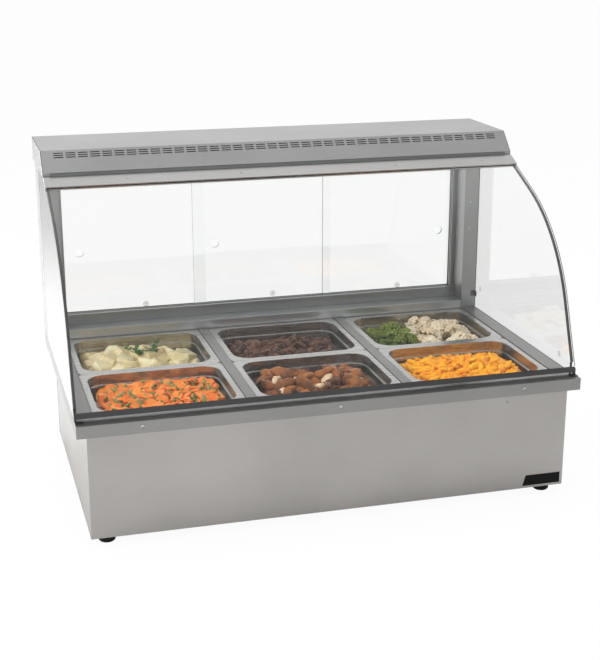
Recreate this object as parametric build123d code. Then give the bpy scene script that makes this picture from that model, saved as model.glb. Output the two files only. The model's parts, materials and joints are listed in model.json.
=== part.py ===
from build123d import *
from math import atan2, cos, degrees, hypot, radians, sin
import os

# A counter-top hot food bar: a heated well that holds six half-size pans under curved glass.
# Millimetres. +Z is up, the customer stands at -Y and the operator at +Y.
# The origin is on the table, under the middle of the whole bar.

# Whole bar
foot_height = 20.0
body_height = 257.0
sheet = 1.5
seat_gap = 0.3
cut_over = 1.0

# Body case, set back under the deck
body_from_front = 18.2
body_end_inset = 22.0
body_rear_inset = 17.0

# Deck, which reaches past the block of pans on all sides
deck_front_margin = 59.0
deck_rear_margin = 85.0
deck_end_margin = 42.3
skirt_height = 27.0
skirt_return = 9.0

# Half-size food pans
pan_length = 325.0
pan_width = 265.0
pan_depth = 65.0
pan_flange = 12.5
pan_rim = 2.0
pan_wall = 1.0
pan_corner = 42.0
pan_rim_corner = 12.0
pan_shoulder_depth = 24.0
pan_shoulder = 3.5
pan_draft = 3.0
pan_foot_radius = 13.0
pan_columns = 3
pan_column_gap = 25.7
pan_row_gap = 1.0

# Recess that the pan rims lie in, and the bars between the columns
pocket_gap = 2.0
pocket_ledge = 11.0
pocket_depth = 3.5
well_flange_height = 13.0
divider_top_width = 23.0
divider_flange = 10.0
divider_rest = 9.0

# Food
food_gap = 0.6
food_low = 34.0
food_high = 46.0
food_crown_radius = 11.0

# Heated well
tank_depth = 110.0
tank_wall = 1.2
tank_flange = 12.0
element_radius = 4.0
element_lift = 13.0
element_span = 90.0
element_end_gap = 14.7
element_tail = 12.0
element_hole_gap = 0.15
bracket_width = 12.0
bracket_spread = 200.0
bracket_overhang = 10.0

# Rear posts, sill and doors
post_depth = 81.0
post_width = 43.5
sill_depth = 79.5
sill_height = 20.0
track_back = 3.5
track_height = 25.5
track_base = 12.0
track_front = 11.0
track_groove = 7.0
track_web = 4.0
top_track_base = 3.5
top_track_height = 22.5
jamb_depth = 10.5
jamb_web = 1.5
door_overlap = 26.5
door_thickness = 5.0
door_side_play = 1.0
door_lift_play = 3.0
middle_door_offset = -2.5
finger_hole_radius = 11.0
finger_hole_height = 198.0
outer_hole_inset = 45.0
middle_hole_inset = 55.0

# Hood
hood_over_trim = 0.5
hood_height = 52.4
hood_lip_gap = 0.89
hood_lip_lap = 1.99
hood_lip_height = 9.5
hood_slope_run = 44.2
hood_rear_overhang = 16.0
vent_end_margin = 20.0
vent_rows = 3
vent_pitch = 27.3
vent_length = 21.5
vent_height = 2.4
vent_row_pitch = 5.8
vent_below_crease = 14.3
tray_edge = 15.0

# Heat lamps in the hood
lamp_behind_crease = 54.3
trough_length = 260.0
trough_mouth = 84.0
trough_top = 46.0
trough_height = 34.0
lamp_radius = 6.0
lamp_drop = 18.0
lamp_holder = 14.0
lamp_holder_height = 18.0

# Curved front glass: a straight foot, one bend and a straight top
glass = 6.0
glass_over_end = 0.5
glass_foot_from_front = 27.2
glass_foot_lift = 6.0
glass_foot_slope = 69.0
glass_foot_straight = 156.3
glass_bend_radius = 384.2
glass_top_slope = 23.0
glass_top_straight = 141.0
trim_over_end = 1.5
trim_length = 40.0
trim_over = 6.0
trim_wall = 3.0
rail_grip = 9.0
rail_toe = 3.0
rail_wall = 3.0
pivot_radius = 2.5
pivot_depth = 10.0
pivot_gap = 0.05
ear_thickness = 3.0
ear_radius = 5.5
ear_gap = 0.5
ear_foot_length = 13.0
ear_foot_width = 17.0
side_seal_gap = 0.6
side_notch = 14.0
side_inset = 0.5
hood_seal_depth = 5.7
hood_seal_height = 5.5
hood_seal_inset = 16.0
bumper_radius = 6.0
bumper_height = 9.0
bumper_inset = 107.5
clip_height = 15.0
clip_leg = 12.0
clip_low = 30.0
clip_high = 370.0

# Feet and case screws
foot_radius = 18.0
foot_inset_x = 36.0
foot_inset_y = 34.0
foot_rim = 3.0
screw_radius = 4.0
screw_head = 2.0
skirt_screw_head = 1.0
skirt_screw_inset = 134.5
skirt_screw_drop = 12.0

# Base plate vents
base_vent_count = 12
base_vent_pitch = 14.0
base_vent_length = 90.0
base_vent_width = 5.0
base_vent_spread = 260.0
base_flange = 14.0

# Control panel at the operator's side
panel_inset = 58.5
panel_z = 104.0
panel_width = 280.0
panel_height = 110.0
panel_lap = 10.0
knob_offset = 95.0
knob_radius = 21.0
knob_length = 17.0
knob_grips = 12
knob_grip_radius = 2.4
shaft_radius = 3.0
shaft_reach = 13.0
shaft_hole_radius = 5.0
running_gap = 0.05
thermostat_width = 46.0
thermostat_depth = 32.0
switch_pitch = 50.0
switch_offset = 5.0
rocker_width = 19.0
rocker_half_height = 11.0
rocker_face = 4.5
rocker_dip = 3.0
rocker_back = 6.0
rocker_sunk = 2.0
rocker_tilt = 7.0
rocker_swing = 3.5
bezel_wall = 2.5
bezel_sleeve = 0.5
rocker_play = 1.0
rocker_pin_radius = 1.5
switch_depth = 24.0
pilot_offset = -95.0
pilot_radius = 6.0
pilot_dome = 7.5
pilot_stem = 16.0
pilot_proud = 3.0

# Supply inlet, terminal block and drain
inlet_offset = 195.0
inlet_width = 50.0
inlet_height = 28.0
inlet_flange = 3.0
inlet_depth = 28.0
inlet_recess = 16.0
inlet_pin = 2.0
inlet_pin_pitch = 7.0
terminal_length = 90.0
terminal_depth = 26.0
terminal_height = 24.0
terminal_ways = 6
drain_inset = 83.7
drain_rear_inset = 51.0
drain_radius = 10.5
drain_wall = 1.5
drain_bend = 28.0
drain_low_z = 100.0
valve_radius = 15.0
valve_length = 24.0
valve_stem_radius = 4.0
valve_stem_height = 9.0
lever_length = 46.0
lever_width = 11.0
lever_thickness = 3.0

# Bare plate on the front
plate_inset = 7.0
plate_width = 90.0
plate_height = 24.5
plate_cut = 7.0
plate_lift = 6.0
plate_thickness = 1.2

# Plan sizes worked out from the sizes above, from the block of pans outwards
column_pitch = pan_length + pan_column_gap
row_pitch = pan_width + pan_row_gap
grid_half_x = ((pan_columns - 1) * column_pitch + pan_length) / 2
grid_half_y = (row_pitch + pan_width) / 2
deck_width = 2 * (grid_half_x + deck_end_margin)
deck_depth = deck_front_margin + 2 * grid_half_y + deck_rear_margin
body_width = deck_width - 2 * body_end_inset
glass_half = deck_width / 2 + glass_over_end
trim_half = glass_half + trim_over_end
hood_half = trim_half + hood_over_trim
rail_half = deck_width / 2 - ear_thickness - ear_gap
side_outer_x = deck_width / 2 - side_inset
post_inner_x = side_outer_x - post_width
door_end_x = post_inner_x - jamb_web - door_side_play
door_width = 2 * (door_end_x + door_overlap) / 3
outer_door_x = door_end_x - door_width / 2
overall_depth = deck_depth + hood_rear_overhang + skirt_screw_head
plate_right_x = body_width / 2 - plate_inset
panel_x = (panel_width - body_width) / 2 + panel_inset
knob_x = panel_x + knob_offset
pilot_x = panel_x + pilot_offset
inlet_x = panel_x + inlet_offset
panel_face_x = (panel_x - panel_width / 2, panel_x + panel_width / 2)
switch_centres = [panel_x + switch_offset, panel_x + switch_offset - switch_pitch]

# Heights up to the deck and the doors
body_bottom = foot_height
deck_under = body_bottom + body_height
deck_top = deck_under + sheet
pocket_floor = deck_top - pocket_depth
pan_top = pocket_floor + pan_rim
sill_top = deck_top + sill_height
door_floor = sill_top + track_base


def from_front(distance):
    """The y of a plane that lies this far behind the skirt, whose screw heads stand in front."""
    return distance + skirt_screw_head - overall_depth / 2


front_y = from_front(0)
deck_rear_y = from_front(deck_depth)
body_front_y = from_front(body_from_front)
body_rear_y = deck_rear_y - body_rear_inset
hood_rear_y = deck_rear_y + hood_rear_overhang
grid_y = from_front(deck_front_margin + grid_half_y)
post_y = deck_rear_y - post_depth
sill_y = deck_rear_y - sill_depth
column_centres = [column_pitch * (i - (pan_columns - 1) / 2) for i in range(pan_columns)]
row_centres = [grid_y - row_pitch / 2, grid_y + row_pitch / 2]
groove_rear_y = deck_rear_y - track_back - track_groove
groove_front_y = groove_rear_y - track_web - track_groove
track_y = groove_front_y - track_front

# Line of the front glass in (y, z), which also places the hood above it
foot_angle = radians(glass_foot_slope)
top_angle = radians(glass_top_slope)
foot_point = (from_front(glass_foot_from_front), deck_top + glass_foot_lift)
bend_start = (
    foot_point[0] + glass_foot_straight * cos(foot_angle),
    foot_point[1] + glass_foot_straight * sin(foot_angle),
)
bend_centre = (
    bend_start[0] + glass_bend_radius * sin(foot_angle),
    bend_start[1] - glass_bend_radius * cos(foot_angle),
)


def bend_point(angle, depth):
    """A point of the bend at a tangent angle, a depth inside the glass's outer face."""
    radius = glass_bend_radius - depth
    return (bend_centre[0] - radius * sin(angle), bend_centre[1] + radius * cos(angle))


def top_point(distance, depth):
    """A point on the straight top, measured up from the end of the bend."""
    y, z = bend_point(top_angle, depth)
    return (y + distance * cos(top_angle), z + distance * sin(top_angle))


def foot_run(distance, depth):
    """A point on the straight foot, measured down from the start of the bend."""
    y, z = bend_point(foot_angle, depth)
    return (y - distance * cos(foot_angle), z - distance * sin(foot_angle))


rail_end = glass_foot_straight
glass_foot_end = rail_end - rail_toe
rail_start = glass_foot_end - rail_grip
trim_end = glass_top_straight + trim_over
trim_start = trim_end - trim_length
pivot_point = foot_run((rail_start + rail_end) / 2, glass / 2)
trim_top_z = top_point(trim_end, -trim_wall)[1]

# Hood, whose lip stands just behind the top trim and laps it
hood_under = trim_top_z - hood_lip_lap
hood_top = hood_under + hood_height
hood_lip_top = hood_under + hood_lip_height
hood_lip_y = top_point(trim_end, glass + trim_wall)[0] + hood_lip_gap
hood_crease_y = hood_lip_y + hood_slope_run
slope_rise = hood_top - hood_lip_top
slope_length = hypot(hood_slope_run, slope_rise)
door_top = hood_under - top_track_base - door_lift_play


def block(x, y, z):
    """A box between two x, two y and two z values."""
    spans = (x, y, z)
    middle = [(low + high) / 2 for low, high in spans]
    return Pos(*middle) * Box(*[high - low for low, high in spans])


def upright(footprint, y):
    """A box on an (x span, z span) footprint between two y values."""
    return block(footprint[0], y, footprint[1])


def both(half):
    """The span from -half to +half."""
    return (-half, half)


def grow(footprint, by):
    """A rectangular footprint moved outwards on all four sides."""
    return tuple((low - by, high + by) for low, high in footprint)


def frame(outer, inner, z):
    """A flat frame between two rectangular footprints, standing between two z values."""
    return block(*outer, z) - block(*inner, z)


def along_x(outline, x):
    """A closed outline of (y, z) points drawn out between two x values."""
    return drawn_out(Polygon(*outline, align=None), x)


def drawn_out(face, x):
    """A flat face in (y, z) drawn out between two x values."""
    return extrude(Plane.YZ.offset(x[0]) * face, x[1] - x[0], dir=(1, 0, 0))


def rod_x(radius, x, y, z):
    """A round bar along X between two x values."""
    return Pos((x[0] + x[1]) / 2, y, z) * Rot(0, 90, 0) * Cylinder(radius, x[1] - x[0])


def rod_y(radius, x, y, z):
    """A round bar along Y between two y values."""
    return Pos(x, (y[0] + y[1]) / 2, z) * Rot(90, 0, 0) * Cylinder(radius, y[1] - y[0])


def rod_z(radius, x, y, z):
    """A round bar along Z between two z values."""
    return Pos(x, y, (z[0] + z[1]) / 2) * Cylinder(radius, z[1] - z[0])


def mirrored(shape):
    """The same shape on the other side of the bar."""
    return mirror(shape, about=Plane.YZ)


def four_walls(shape, inside):
    """The two long walls and the two ends of a welded box, parted at its inside corners."""
    (left, right), (near, far) = inside
    low = shape.bounding_box().min
    high = shape.bounding_box().max
    long_walls = [((low.X, high.X), (low.Y, near)), ((low.X, high.X), (far, high.Y))]
    ends = [((low.X, left), (near, far)), ((right, high.X), (near, far))]
    return [shape & block(x, y, (low.Z, high.Z)) for x, y in long_walls + ends]


# Footprints on the deck, each as (x span, y span)
deck_footprint = (both(deck_width / 2), (front_y, deck_rear_y))
body_footprint = (both(body_width / 2), (body_front_y, body_rear_y))
pan_grid = (both(grid_half_x), (grid_y - grid_half_y, grid_y + grid_half_y))
pocket = grow(pan_grid, pocket_gap)
well_mouth = grow(pan_grid, -pocket_ledge)


# Body


def inlet_core():
    """The (x span, z span) footprint of the inlet's body behind its flange."""
    half_x = inlet_width / 2 - panel_lap
    half_z = inlet_height / 2 - sheet
    return (inlet_x - half_x, inlet_x + half_x), (panel_z - half_z, panel_z + half_z)


def body_shell():
    """The welded case: four walls, open to the deck above, with the rear one's cut-outs."""
    inside = grow(body_footprint, -sheet)
    shell = frame(body_footprint, inside, (body_bottom, deck_under))
    wall_y = (body_rear_y - 2 * sheet, body_rear_y + sheet)
    half_mouth = panel_height / 2 - panel_lap
    panel_mouth = (panel_face_x[0] + panel_lap, panel_face_x[1] - panel_lap)
    shell -= upright((panel_mouth, (panel_z - half_mouth, panel_z + half_mouth)), wall_y)
    shell -= upright(inlet_core(), wall_y)
    shell -= rod_y(drain_radius + seat_gap, drain_x, wall_y, drain_low_z)
    return four_walls(shell, inside)


def base_plate():
    """The floor of the case, a tray with turned-up edges and two fields of cooling slots."""
    outside = grow(body_footprint, -sheet)
    plate = block(*outside, (body_bottom, body_bottom + base_flange))
    plate -= block(*grow(outside, -sheet), (body_bottom + sheet, body_bottom + 2 * base_flange))
    middle_y = (body_front_y + body_rear_y) / 2
    slot = Box(base_vent_width, base_vent_length, 4 * sheet)
    for side in (-1, 1):
        field = Pos(side * base_vent_spread, middle_y, body_bottom)
        for place in GridLocations(base_vent_pitch, 1, base_vent_count, 1):
            plate -= field * place * slot
    return plate


def foot_places():
    """The four corners that the feet stand under."""
    x = body_width / 2 - foot_inset_x
    rows = (body_front_y + foot_inset_y, body_rear_y - foot_inset_y)
    return [(side * x, y) for side in (-1, 1) for y in rows]


def feet():
    """Four turned rubber feet with a wider top rim."""
    outline = [
        (0, 0), (foot_radius - foot_rim, 0), (foot_radius, foot_rim),
        (foot_radius, foot_height), (0, foot_height),
    ]
    foot = revolve(Plane.XZ * Polygon(*outline, align=None), Axis.Z)
    return [Pos(x, y, 0) * foot for x, y in foot_places()]


def front_plate():
    """The bare black plate at the lower right of the front, with one corner cut."""
    left = plate_right_x - plate_width
    low = body_bottom + plate_lift
    high = low + plate_height
    outline = [(left, low), (plate_right_x, low), (plate_right_x, high), (left + plate_cut, high)]
    face = Plane.XZ.offset(-body_front_y) * Polygon(*outline, align=None)
    return extrude(face, plate_thickness, dir=(0, -1, 0))


def case_screws():
    """Pan-head screws: three in the skirt and four in the control panel."""
    head_z = deck_top - skirt_screw_drop
    skirt_screw_x = deck_width / 2 - skirt_screw_inset
    screws = []
    for x in (-skirt_screw_x, 0, skirt_screw_x):
        screws.append(rod_y(screw_radius, x, (front_y - skirt_screw_head, front_y), head_z))
    panel_y = body_rear_y + sheet
    for x in (panel_face_x[0] + panel_lap / 2, panel_face_x[1] - panel_lap / 2):
        for side in (-1, 1):
            z = panel_z + side * (panel_height - panel_lap) / 2
            screws.append(rod_y(screw_radius, x, (panel_y, panel_y + screw_head), z))
    return screws


# Deck and well


def deck():
    """The pressed deck: top, turned-down skirt, recess for the pan rims and the well's collar."""
    pocket_wall = grow(pocket, sheet)
    top = frame(deck_footprint, pocket, (deck_under, deck_top))
    step = frame(pocket_wall, pocket, (pocket_floor - sheet, deck_top))
    ledge = frame(pocket_wall, well_mouth, (pocket_floor - sheet, pocket_floor))
    collar = frame(grow(well_mouth, sheet), well_mouth, (pocket_floor - well_flange_height, pocket_floor))
    skirt_low = deck_top - skirt_height
    skirt = frame(deck_footprint, grow(deck_footprint, -sheet), (skirt_low, deck_top))
    turn_in = frame(deck_footprint, grow(deck_footprint, -skirt_return), (skirt_low, skirt_low + sheet))
    rear_open = (both(body_width / 2), (body_rear_y - skirt_return, deck_rear_y + sheet))
    turn_in -= block(*rear_open, (skirt_low, skirt_low + sheet))
    return top + step + ledge + collar + skirt + turn_in


def pan_dividers():
    """Hat-section bars between the pan columns, lying across the well from ledge to ledge."""
    half_top = divider_top_width / 2
    half_flange = pan_column_gap / 2 + divider_flange
    mouth_y = well_mouth[1]
    rest_y = (mouth_y[0] - divider_rest, mouth_y[1] + divider_rest)
    span_y = (mouth_y[0] + seat_gap, mouth_y[1] - seat_gap)
    low = pocket_floor - sheet
    bars = []
    for left, right in zip(column_centres, column_centres[1:]):
        x = (left + right) / 2
        top_x = (x - half_top, x + half_top)
        bar = block(top_x, rest_y, (deck_top - sheet, deck_top))
        for wall_x in ((top_x[0], top_x[0] + sheet), (top_x[1] - sheet, top_x[1])):
            bar += block(wall_x, rest_y, (pocket_floor, deck_top))
            bar += block(wall_x, span_y, (low, deck_top))
        bar += block((x - half_flange, top_x[0] + sheet), span_y, (low, pocket_floor))
        bar += block((top_x[1] - sheet, x + half_flange), span_y, (low, pocket_floor))
        bars.append(bar)
    return bars


tank_footprint = grow(well_mouth, sheet)
tank_top = pocket_floor - sheet
tank_bottom = tank_top - tank_depth
tank_outside = grow(tank_footprint, tank_wall)
tank_floor = tank_bottom + tank_wall
element_z = tank_floor + element_lift + element_radius
element_reach = tank_footprint[0][1] - element_end_gap - element_span / 2 - element_radius
drain_x = tank_footprint[0][1] - drain_inset
drain_y = tank_footprint[1][1] - drain_rear_inset


def well_tank():
    """The welded well under the pans, hung by its flange from the deck's ledge."""
    floor = block(*tank_outside, (tank_bottom, tank_floor))
    floor -= rod_z(drain_radius - drain_wall, drain_x, drain_y, (tank_bottom, tank_floor))
    walls = frame(tank_outside, tank_footprint, (tank_floor, tank_top))
    walls += frame(grow(tank_outside, tank_flange), tank_footprint, (tank_top - tank_wall, tank_top))
    end_wall = (tank_outside[0][0] - tank_wall, tank_footprint[0][0] + tank_wall)
    for y in row_centres:
        for tail_y in (y - element_span / 2, y + element_span / 2):
            walls -= rod_x(element_radius + element_hole_gap, end_wall, tail_y, element_z)
    return [floor] + four_walls(walls, tank_footprint)


def heating_element(y):
    """A tubular element bent into one long hairpin, with both tails out of the well's end."""
    start_x = tank_outside[0][0] - element_tail
    half = element_span / 2
    near = Line((start_x, y - half, element_z), (element_reach, y - half, element_z))
    bend_top = (element_reach + half, y, element_z)
    far = Line((element_reach, y + half, element_z), (start_x, y + half, element_z))
    bend = ThreePointArc(near @ 1, bend_top, far @ 0)
    section = Plane(origin=near @ 0, z_dir=(1, 0, 0)) * Circle(element_radius)
    return sweep(section, path=Wire([near.edge(), bend.edge(), far.edge()]))


def element_brackets():
    """Folded straps that hold the elements off the floor of the well."""
    floor = tank_floor
    top = element_z - element_radius
    half = element_span / 2 + bracket_overhang
    outline = [
        (-half, floor), (-half + tank_wall, floor), (-half + tank_wall, top - tank_wall),
        (half - tank_wall, top - tank_wall), (half - tank_wall, floor), (half, floor),
        (half, top), (-half, top),
    ]
    brackets = []
    for y in row_centres:
        for x in (-bracket_spread, bracket_spread):
            placed = [(y + across, z) for across, z in outline]
            brackets.append(along_x(placed, (x - bracket_width / 2, x + bracket_width / 2)))
    return brackets


# Pans and food


def pan_form(inset):
    """The drawn body of a pan below its flange, made smaller all round by an inset."""
    length = pan_length - 2 * pan_flange - 2 * inset
    width = pan_width - 2 * pan_flange - 2 * inset
    corner = pan_corner - inset
    shoulder_z = pan_top - pan_shoulder_depth + inset / 2
    floor_z = pan_top - pan_depth + inset
    mouth = RectangleRounded(length, width, corner)
    upper = extrude(Pos(0, 0, pan_top) * mouth, shoulder_z - pan_top)
    length -= 2 * pan_shoulder
    width -= 2 * pan_shoulder
    lower_mouth = RectangleRounded(length, width, corner - pan_shoulder)
    lower = extrude(Pos(0, 0, shoulder_z) * lower_mouth, floor_z - shoulder_z, taper=pan_draft)
    lower = fillet(lower.edges().group_by(Axis.Z)[0], pan_foot_radius - inset)
    return upper + lower


def food_pan(x, y):
    """A half-size pan: flat flange, stacking shoulder, drafted walls and rounded floor."""
    rim = RectangleRounded(pan_length, pan_width, pan_rim_corner)
    pan = extrude(Pos(0, 0, pocket_floor) * rim, pan_rim)
    pan += pan_form(0)
    pan -= pan_form(pan_wall)
    return Pos(x, y, 0) * pan


def food_mound(x, y, height):
    """A plain crowned fill for one pan, its sides sloping out from the pan's rounded foot."""
    inset = pan_flange + pan_wall + pan_shoulder + food_gap + pan_foot_radius + food_gap
    corner = pan_corner - pan_wall - pan_shoulder - pan_foot_radius
    base = RectangleRounded(pan_length - 2 * inset, pan_width - 2 * inset, corner)
    slope = degrees(atan2(pan_foot_radius, height))
    mound = extrude(Pos(0, 0, pan_top - pan_depth + pan_wall) * base, height, taper=-slope)
    mound = fillet(mound.edges().group_by(Axis.Z)[-1], food_crown_radius)
    return Pos(x, y, 0) * mound


# Rear frame and doors


def rear_post(side):
    """A folded box post that carries the hood, standing on the deck."""
    outer_x = deck_width / 2 - side_inset
    footprint = ((post_inner_x, outer_x), (post_y, deck_rear_y))
    post = frame(footprint, grow(footprint, -sheet), (deck_top, hood_under))
    return post if side > 0 else mirrored(post)


def rear_sill():
    """The folded step along the back of the deck, under the door track."""
    outline = [
        (sill_y, deck_top), (sill_y + sheet, deck_top), (sill_y + sheet, sill_top - sheet),
        (deck_rear_y - sheet, sill_top - sheet), (deck_rear_y - sheet, deck_top), (deck_rear_y, deck_top),
        (deck_rear_y, sill_top), (sill_y, sill_top),
    ]
    return along_x(outline, both(post_inner_x))


def track_grooves(z):
    """The two door grooves as boxes along the whole track."""
    x = both(post_inner_x + cut_over)
    return [block(x, (y, y + track_groove), z) for y in (groove_front_y, groove_rear_y)]


def door_track_lower():
    """The two-groove bottom track with its stepped front."""
    x = both(post_inner_x)
    top = sill_top + track_height
    track = block(x, (track_y, deck_rear_y), (sill_top, top))
    for groove in track_grooves((door_floor, top + cut_over)):
        track -= groove
    return track


def door_track_upper():
    """The two-groove top track under the hood, deep enough to lift a door out."""
    x = both(post_inner_x)
    low = hood_under - top_track_height
    track = block(x, (groove_front_y - track_web, deck_rear_y), (low, hood_under))
    for groove in track_grooves((low - cut_over, hood_under - top_track_base)):
        track -= groove
    return track


def door_jambs():
    """The grooved channels on the posts that the closed outer doors run into."""
    low = sill_top + track_height
    high = hood_under - top_track_height
    x = (post_inner_x - jamb_depth, post_inner_x)
    jamb = block(x, (groove_front_y - track_web, deck_rear_y), (low, high))
    open_x = (x[0] - cut_over, x[1] - jamb_web)
    for groove in track_grooves((low, high)):
        jamb -= groove & block(open_x, (track_y, deck_rear_y), (low, high))
    return [jamb, mirrored(jamb)]


def sliding_door(centre_x, groove_y, hole_from_left):
    """A plain glass door with a round finger hole."""
    x = (centre_x - door_width / 2, centre_x + door_width / 2)
    play = (track_groove - door_thickness) / 2
    y = (groove_y + play, groove_y + play + door_thickness)
    door = block(x, y, (door_floor, door_top))
    hole_z = deck_top + finger_hole_height
    door -= rod_y(finger_hole_radius, x[0] + hole_from_left, y, hole_z)
    return door


# Hood


def hood_outline(inset):
    """The hood's side profile, moved inwards by an inset but open at the bottom."""
    shift = inset * (slope_length - hood_slope_run) / slope_rise
    lift = inset * (slope_length - slope_rise) / hood_slope_run
    return [
        (hood_rear_y - inset, hood_under), (hood_rear_y - inset, hood_top - inset),
        (hood_crease_y + shift, hood_top - inset), (hood_lip_y + inset, hood_lip_top - lift),
        (hood_lip_y + inset, hood_under),
    ]


def hood_cover():
    """The folded hood: back, top, 45 degree front with three rows of slots, and a short lip."""
    x = both(hood_half - sheet)
    cover = along_x(hood_outline(0), x) - along_x(hood_outline(sheet), x)
    crease = (0, hood_crease_y, hood_top)
    face = Plane(origin=crease, x_dir=(1, 0, 0), z_dir=(0, -slope_rise, hood_slope_run))
    middle_row = face * Pos(0, -vent_below_crease, 0)
    slot = Box(vent_length, vent_height, 4 * sheet)
    vent_groups = int(2 * (hood_half - vent_end_margin) / vent_pitch)
    places = GridLocations(vent_pitch, vent_row_pitch, vent_groups, vent_rows)
    return cover - [middle_row * place * slot for place in places]


def hood_end(side):
    """A flat cheek that closes one end of the hood."""
    x = (hood_half - sheet, hood_half)
    cheek = along_x(hood_outline(0), x)
    return cheek if side > 0 else mirrored(cheek)


lamp_y = hood_crease_y + lamp_behind_crease
lamp_z = hood_under + trough_height - lamp_drop


def trough_outline(inset):
    """The side profile of one reflector trough, moved inwards by an inset."""
    top = hood_under + trough_height - inset
    return [
        (lamp_y - trough_mouth / 2 + inset, hood_under), (lamp_y - trough_top / 2 + inset, top),
        (lamp_y + trough_top / 2 - inset, top), (lamp_y + trough_mouth / 2 - inset, hood_under),
    ]


def lamp_tray():
    """The underside of the hood, a turned-up tray with a pressed reflector over each column."""
    x = both(hood_half - sheet)
    y = (hood_lip_y + sheet, hood_rear_y - sheet)
    tray = block(x, y, (hood_under, hood_under + tray_edge))
    tray -= block(*grow((x, y), -sheet), (hood_under + sheet, hood_under + 2 * tray_edge))
    for centre in column_centres:
        half = trough_length / 2
        tray += along_x(trough_outline(0), (centre - half, centre + half))
        tray -= along_x(trough_outline(sheet), (centre - half + sheet, centre + half - sheet))
    return tray & along_x(hood_outline(sheet), x)


def heat_lamps():
    """A quartz tube lamp with two ceramic holders in each trough."""
    lamps = []
    inside = trough_length / 2 - sheet
    for centre in column_centres:
        tube_half = inside - lamp_holder
        lamp = rod_x(lamp_radius, (centre - tube_half, centre + tube_half), lamp_y, lamp_z)
        for side in (-1, 1):
            ends = sorted((centre + side * tube_half, centre + side * inside))
            half = lamp_holder_height / 2
            lamp += block(tuple(ends), (lamp_y - half, lamp_y + half), (lamp_z - half, lamp_z + half))
        lamps.append(lamp)
    return lamps


# Curved front glass


def curve_edges(depth, top_length, foot_length):
    """The curved line of the glass at one depth, as a straight, an arc and a straight."""
    high = bend_point(top_angle, depth)
    low = bend_point(foot_angle, depth)
    middle = bend_point((top_angle + foot_angle) / 2, depth)
    return [
        Line(top_point(top_length, depth), high), ThreePointArc(high, middle, low),
        Line(low, foot_run(foot_length, depth)),
    ]


def curved_band(outer, inner, top_length, foot_length, x):
    """A band that follows the curve of the glass between two depths."""
    edges = curve_edges(outer, top_length, foot_length) + curve_edges(inner, top_length, foot_length)
    edges.append(Line(top_point(top_length, outer), top_point(top_length, inner)))
    edges.append(Line(foot_run(foot_length, outer), foot_run(foot_length, inner)))
    return drawn_out(make_face(Curve() + edges), x)


def glass_channel(point, start, end, lips):
    """The side profile of a channel that wraps the glass between two distances along it."""
    return [point(start, -lips), point(end, -lips), point(end, glass + lips), point(start, glass + lips)]


rail_slot_half = rail_half - pivot_depth - ear_gap
side_edge_depth = glass + trim_wall + seat_gap


def front_glass():
    """The bent front pane, its lower corners notched to clear the hinge."""
    pane = curved_band(0, glass, glass_top_straight, glass_foot_end, both(glass_half))
    notch = glass_channel(foot_run, rail_start - ear_gap, rail_end, rail_wall)
    for x in ((rail_slot_half, glass_half), (-glass_half, -rail_slot_half)):
        pane -= along_x(notch, x)
    return pane


def glass_top_trim():
    """The channel that caps the upper edge of the front glass."""
    trim = along_x(glass_channel(top_point, trim_start, trim_end, trim_wall), both(trim_half))
    slot = glass_channel(top_point, trim_start, glass_top_straight, 0)
    return trim - along_x(slot, both(trim_half))


def glass_bottom_rail():
    """The channel along the foot of the front glass, bored at both ends for its pivots."""
    rail = along_x(glass_channel(foot_run, rail_start, rail_end, rail_wall), both(rail_half))
    rail -= along_x(glass_channel(foot_run, rail_start, glass_foot_end, 0), both(rail_slot_half))
    for x in ((rail_slot_half, rail_half), (-rail_half, -rail_slot_half)):
        rail -= rod_x(pivot_radius + pivot_gap, x, *pivot_point)
    return rail


def hinge_brackets():
    """Ears on the deck, each with a screwed foot and the pin that the front glass turns on."""
    y, z = pivot_point
    inner_x = rail_half + ear_gap
    ear_x = (inner_x, inner_x + ear_thickness)
    ear_y = (y - ear_radius, y + ear_radius)
    foot_y = (ear_y[0] - ear_foot_length, ear_y[0])
    bracket = rod_x(ear_radius, ear_x, y, z)
    bracket += block(ear_x, ear_y, (deck_top, z))
    bracket += block((ear_x[1] - ear_foot_width, ear_x[1]), foot_y, (deck_top, deck_top + sheet))
    bracket += block(ear_x, (foot_y[0], y), (deck_top, deck_top + sheet))
    bracket += rod_x(pivot_radius, (rail_slot_half + ear_gap, inner_x), y, z)
    return [bracket, mirrored(bracket)]


def trim_bumper():
    """A small round rubber stop under the top trim."""
    y, z = top_point((trim_start + trim_end) / 2, glass + trim_wall)
    place = (bumper_inset - trim_half, y, z)
    plane = Plane(origin=place, x_dir=(1, 0, 0), z_dir=(0, sin(top_angle), -cos(top_angle)))
    return extrude(plane * Circle(bumper_radius), bumper_height)


side_x = (side_outer_x - glass, side_outer_x)


def side_outline(depth):
    """The closed outline of a side pane whose curved edge lies at a depth behind the front glass."""
    foot_length = (bend_point(foot_angle, depth)[1] - deck_top) / sin(foot_angle)
    z_top = bend_point(top_angle, depth)[1]
    top_length = (hood_under - z_top) / sin(top_angle)
    edges = curve_edges(depth, top_length, foot_length)
    edges.append(Line(foot_run(foot_length, depth), (post_y, deck_top)))
    edges.append(Line((post_y, deck_top), (post_y, hood_under)))
    edges.append(Line((post_y, hood_under), top_point(top_length, depth)))
    return make_face(Curve() + edges)


def hinge_notch():
    """The corner that the side panes leave free for the turning rail."""
    y, z = pivot_point
    return block(both(deck_width), (front_y, y + side_notch), (deck_under, z + side_notch))


def side_glass(side):
    """A flat end pane with a curved front edge, between deck, post and hood."""
    pane = drawn_out(side_outline(side_edge_depth), side_x) - hinge_notch()
    return pane if side > 0 else mirrored(pane)


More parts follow.
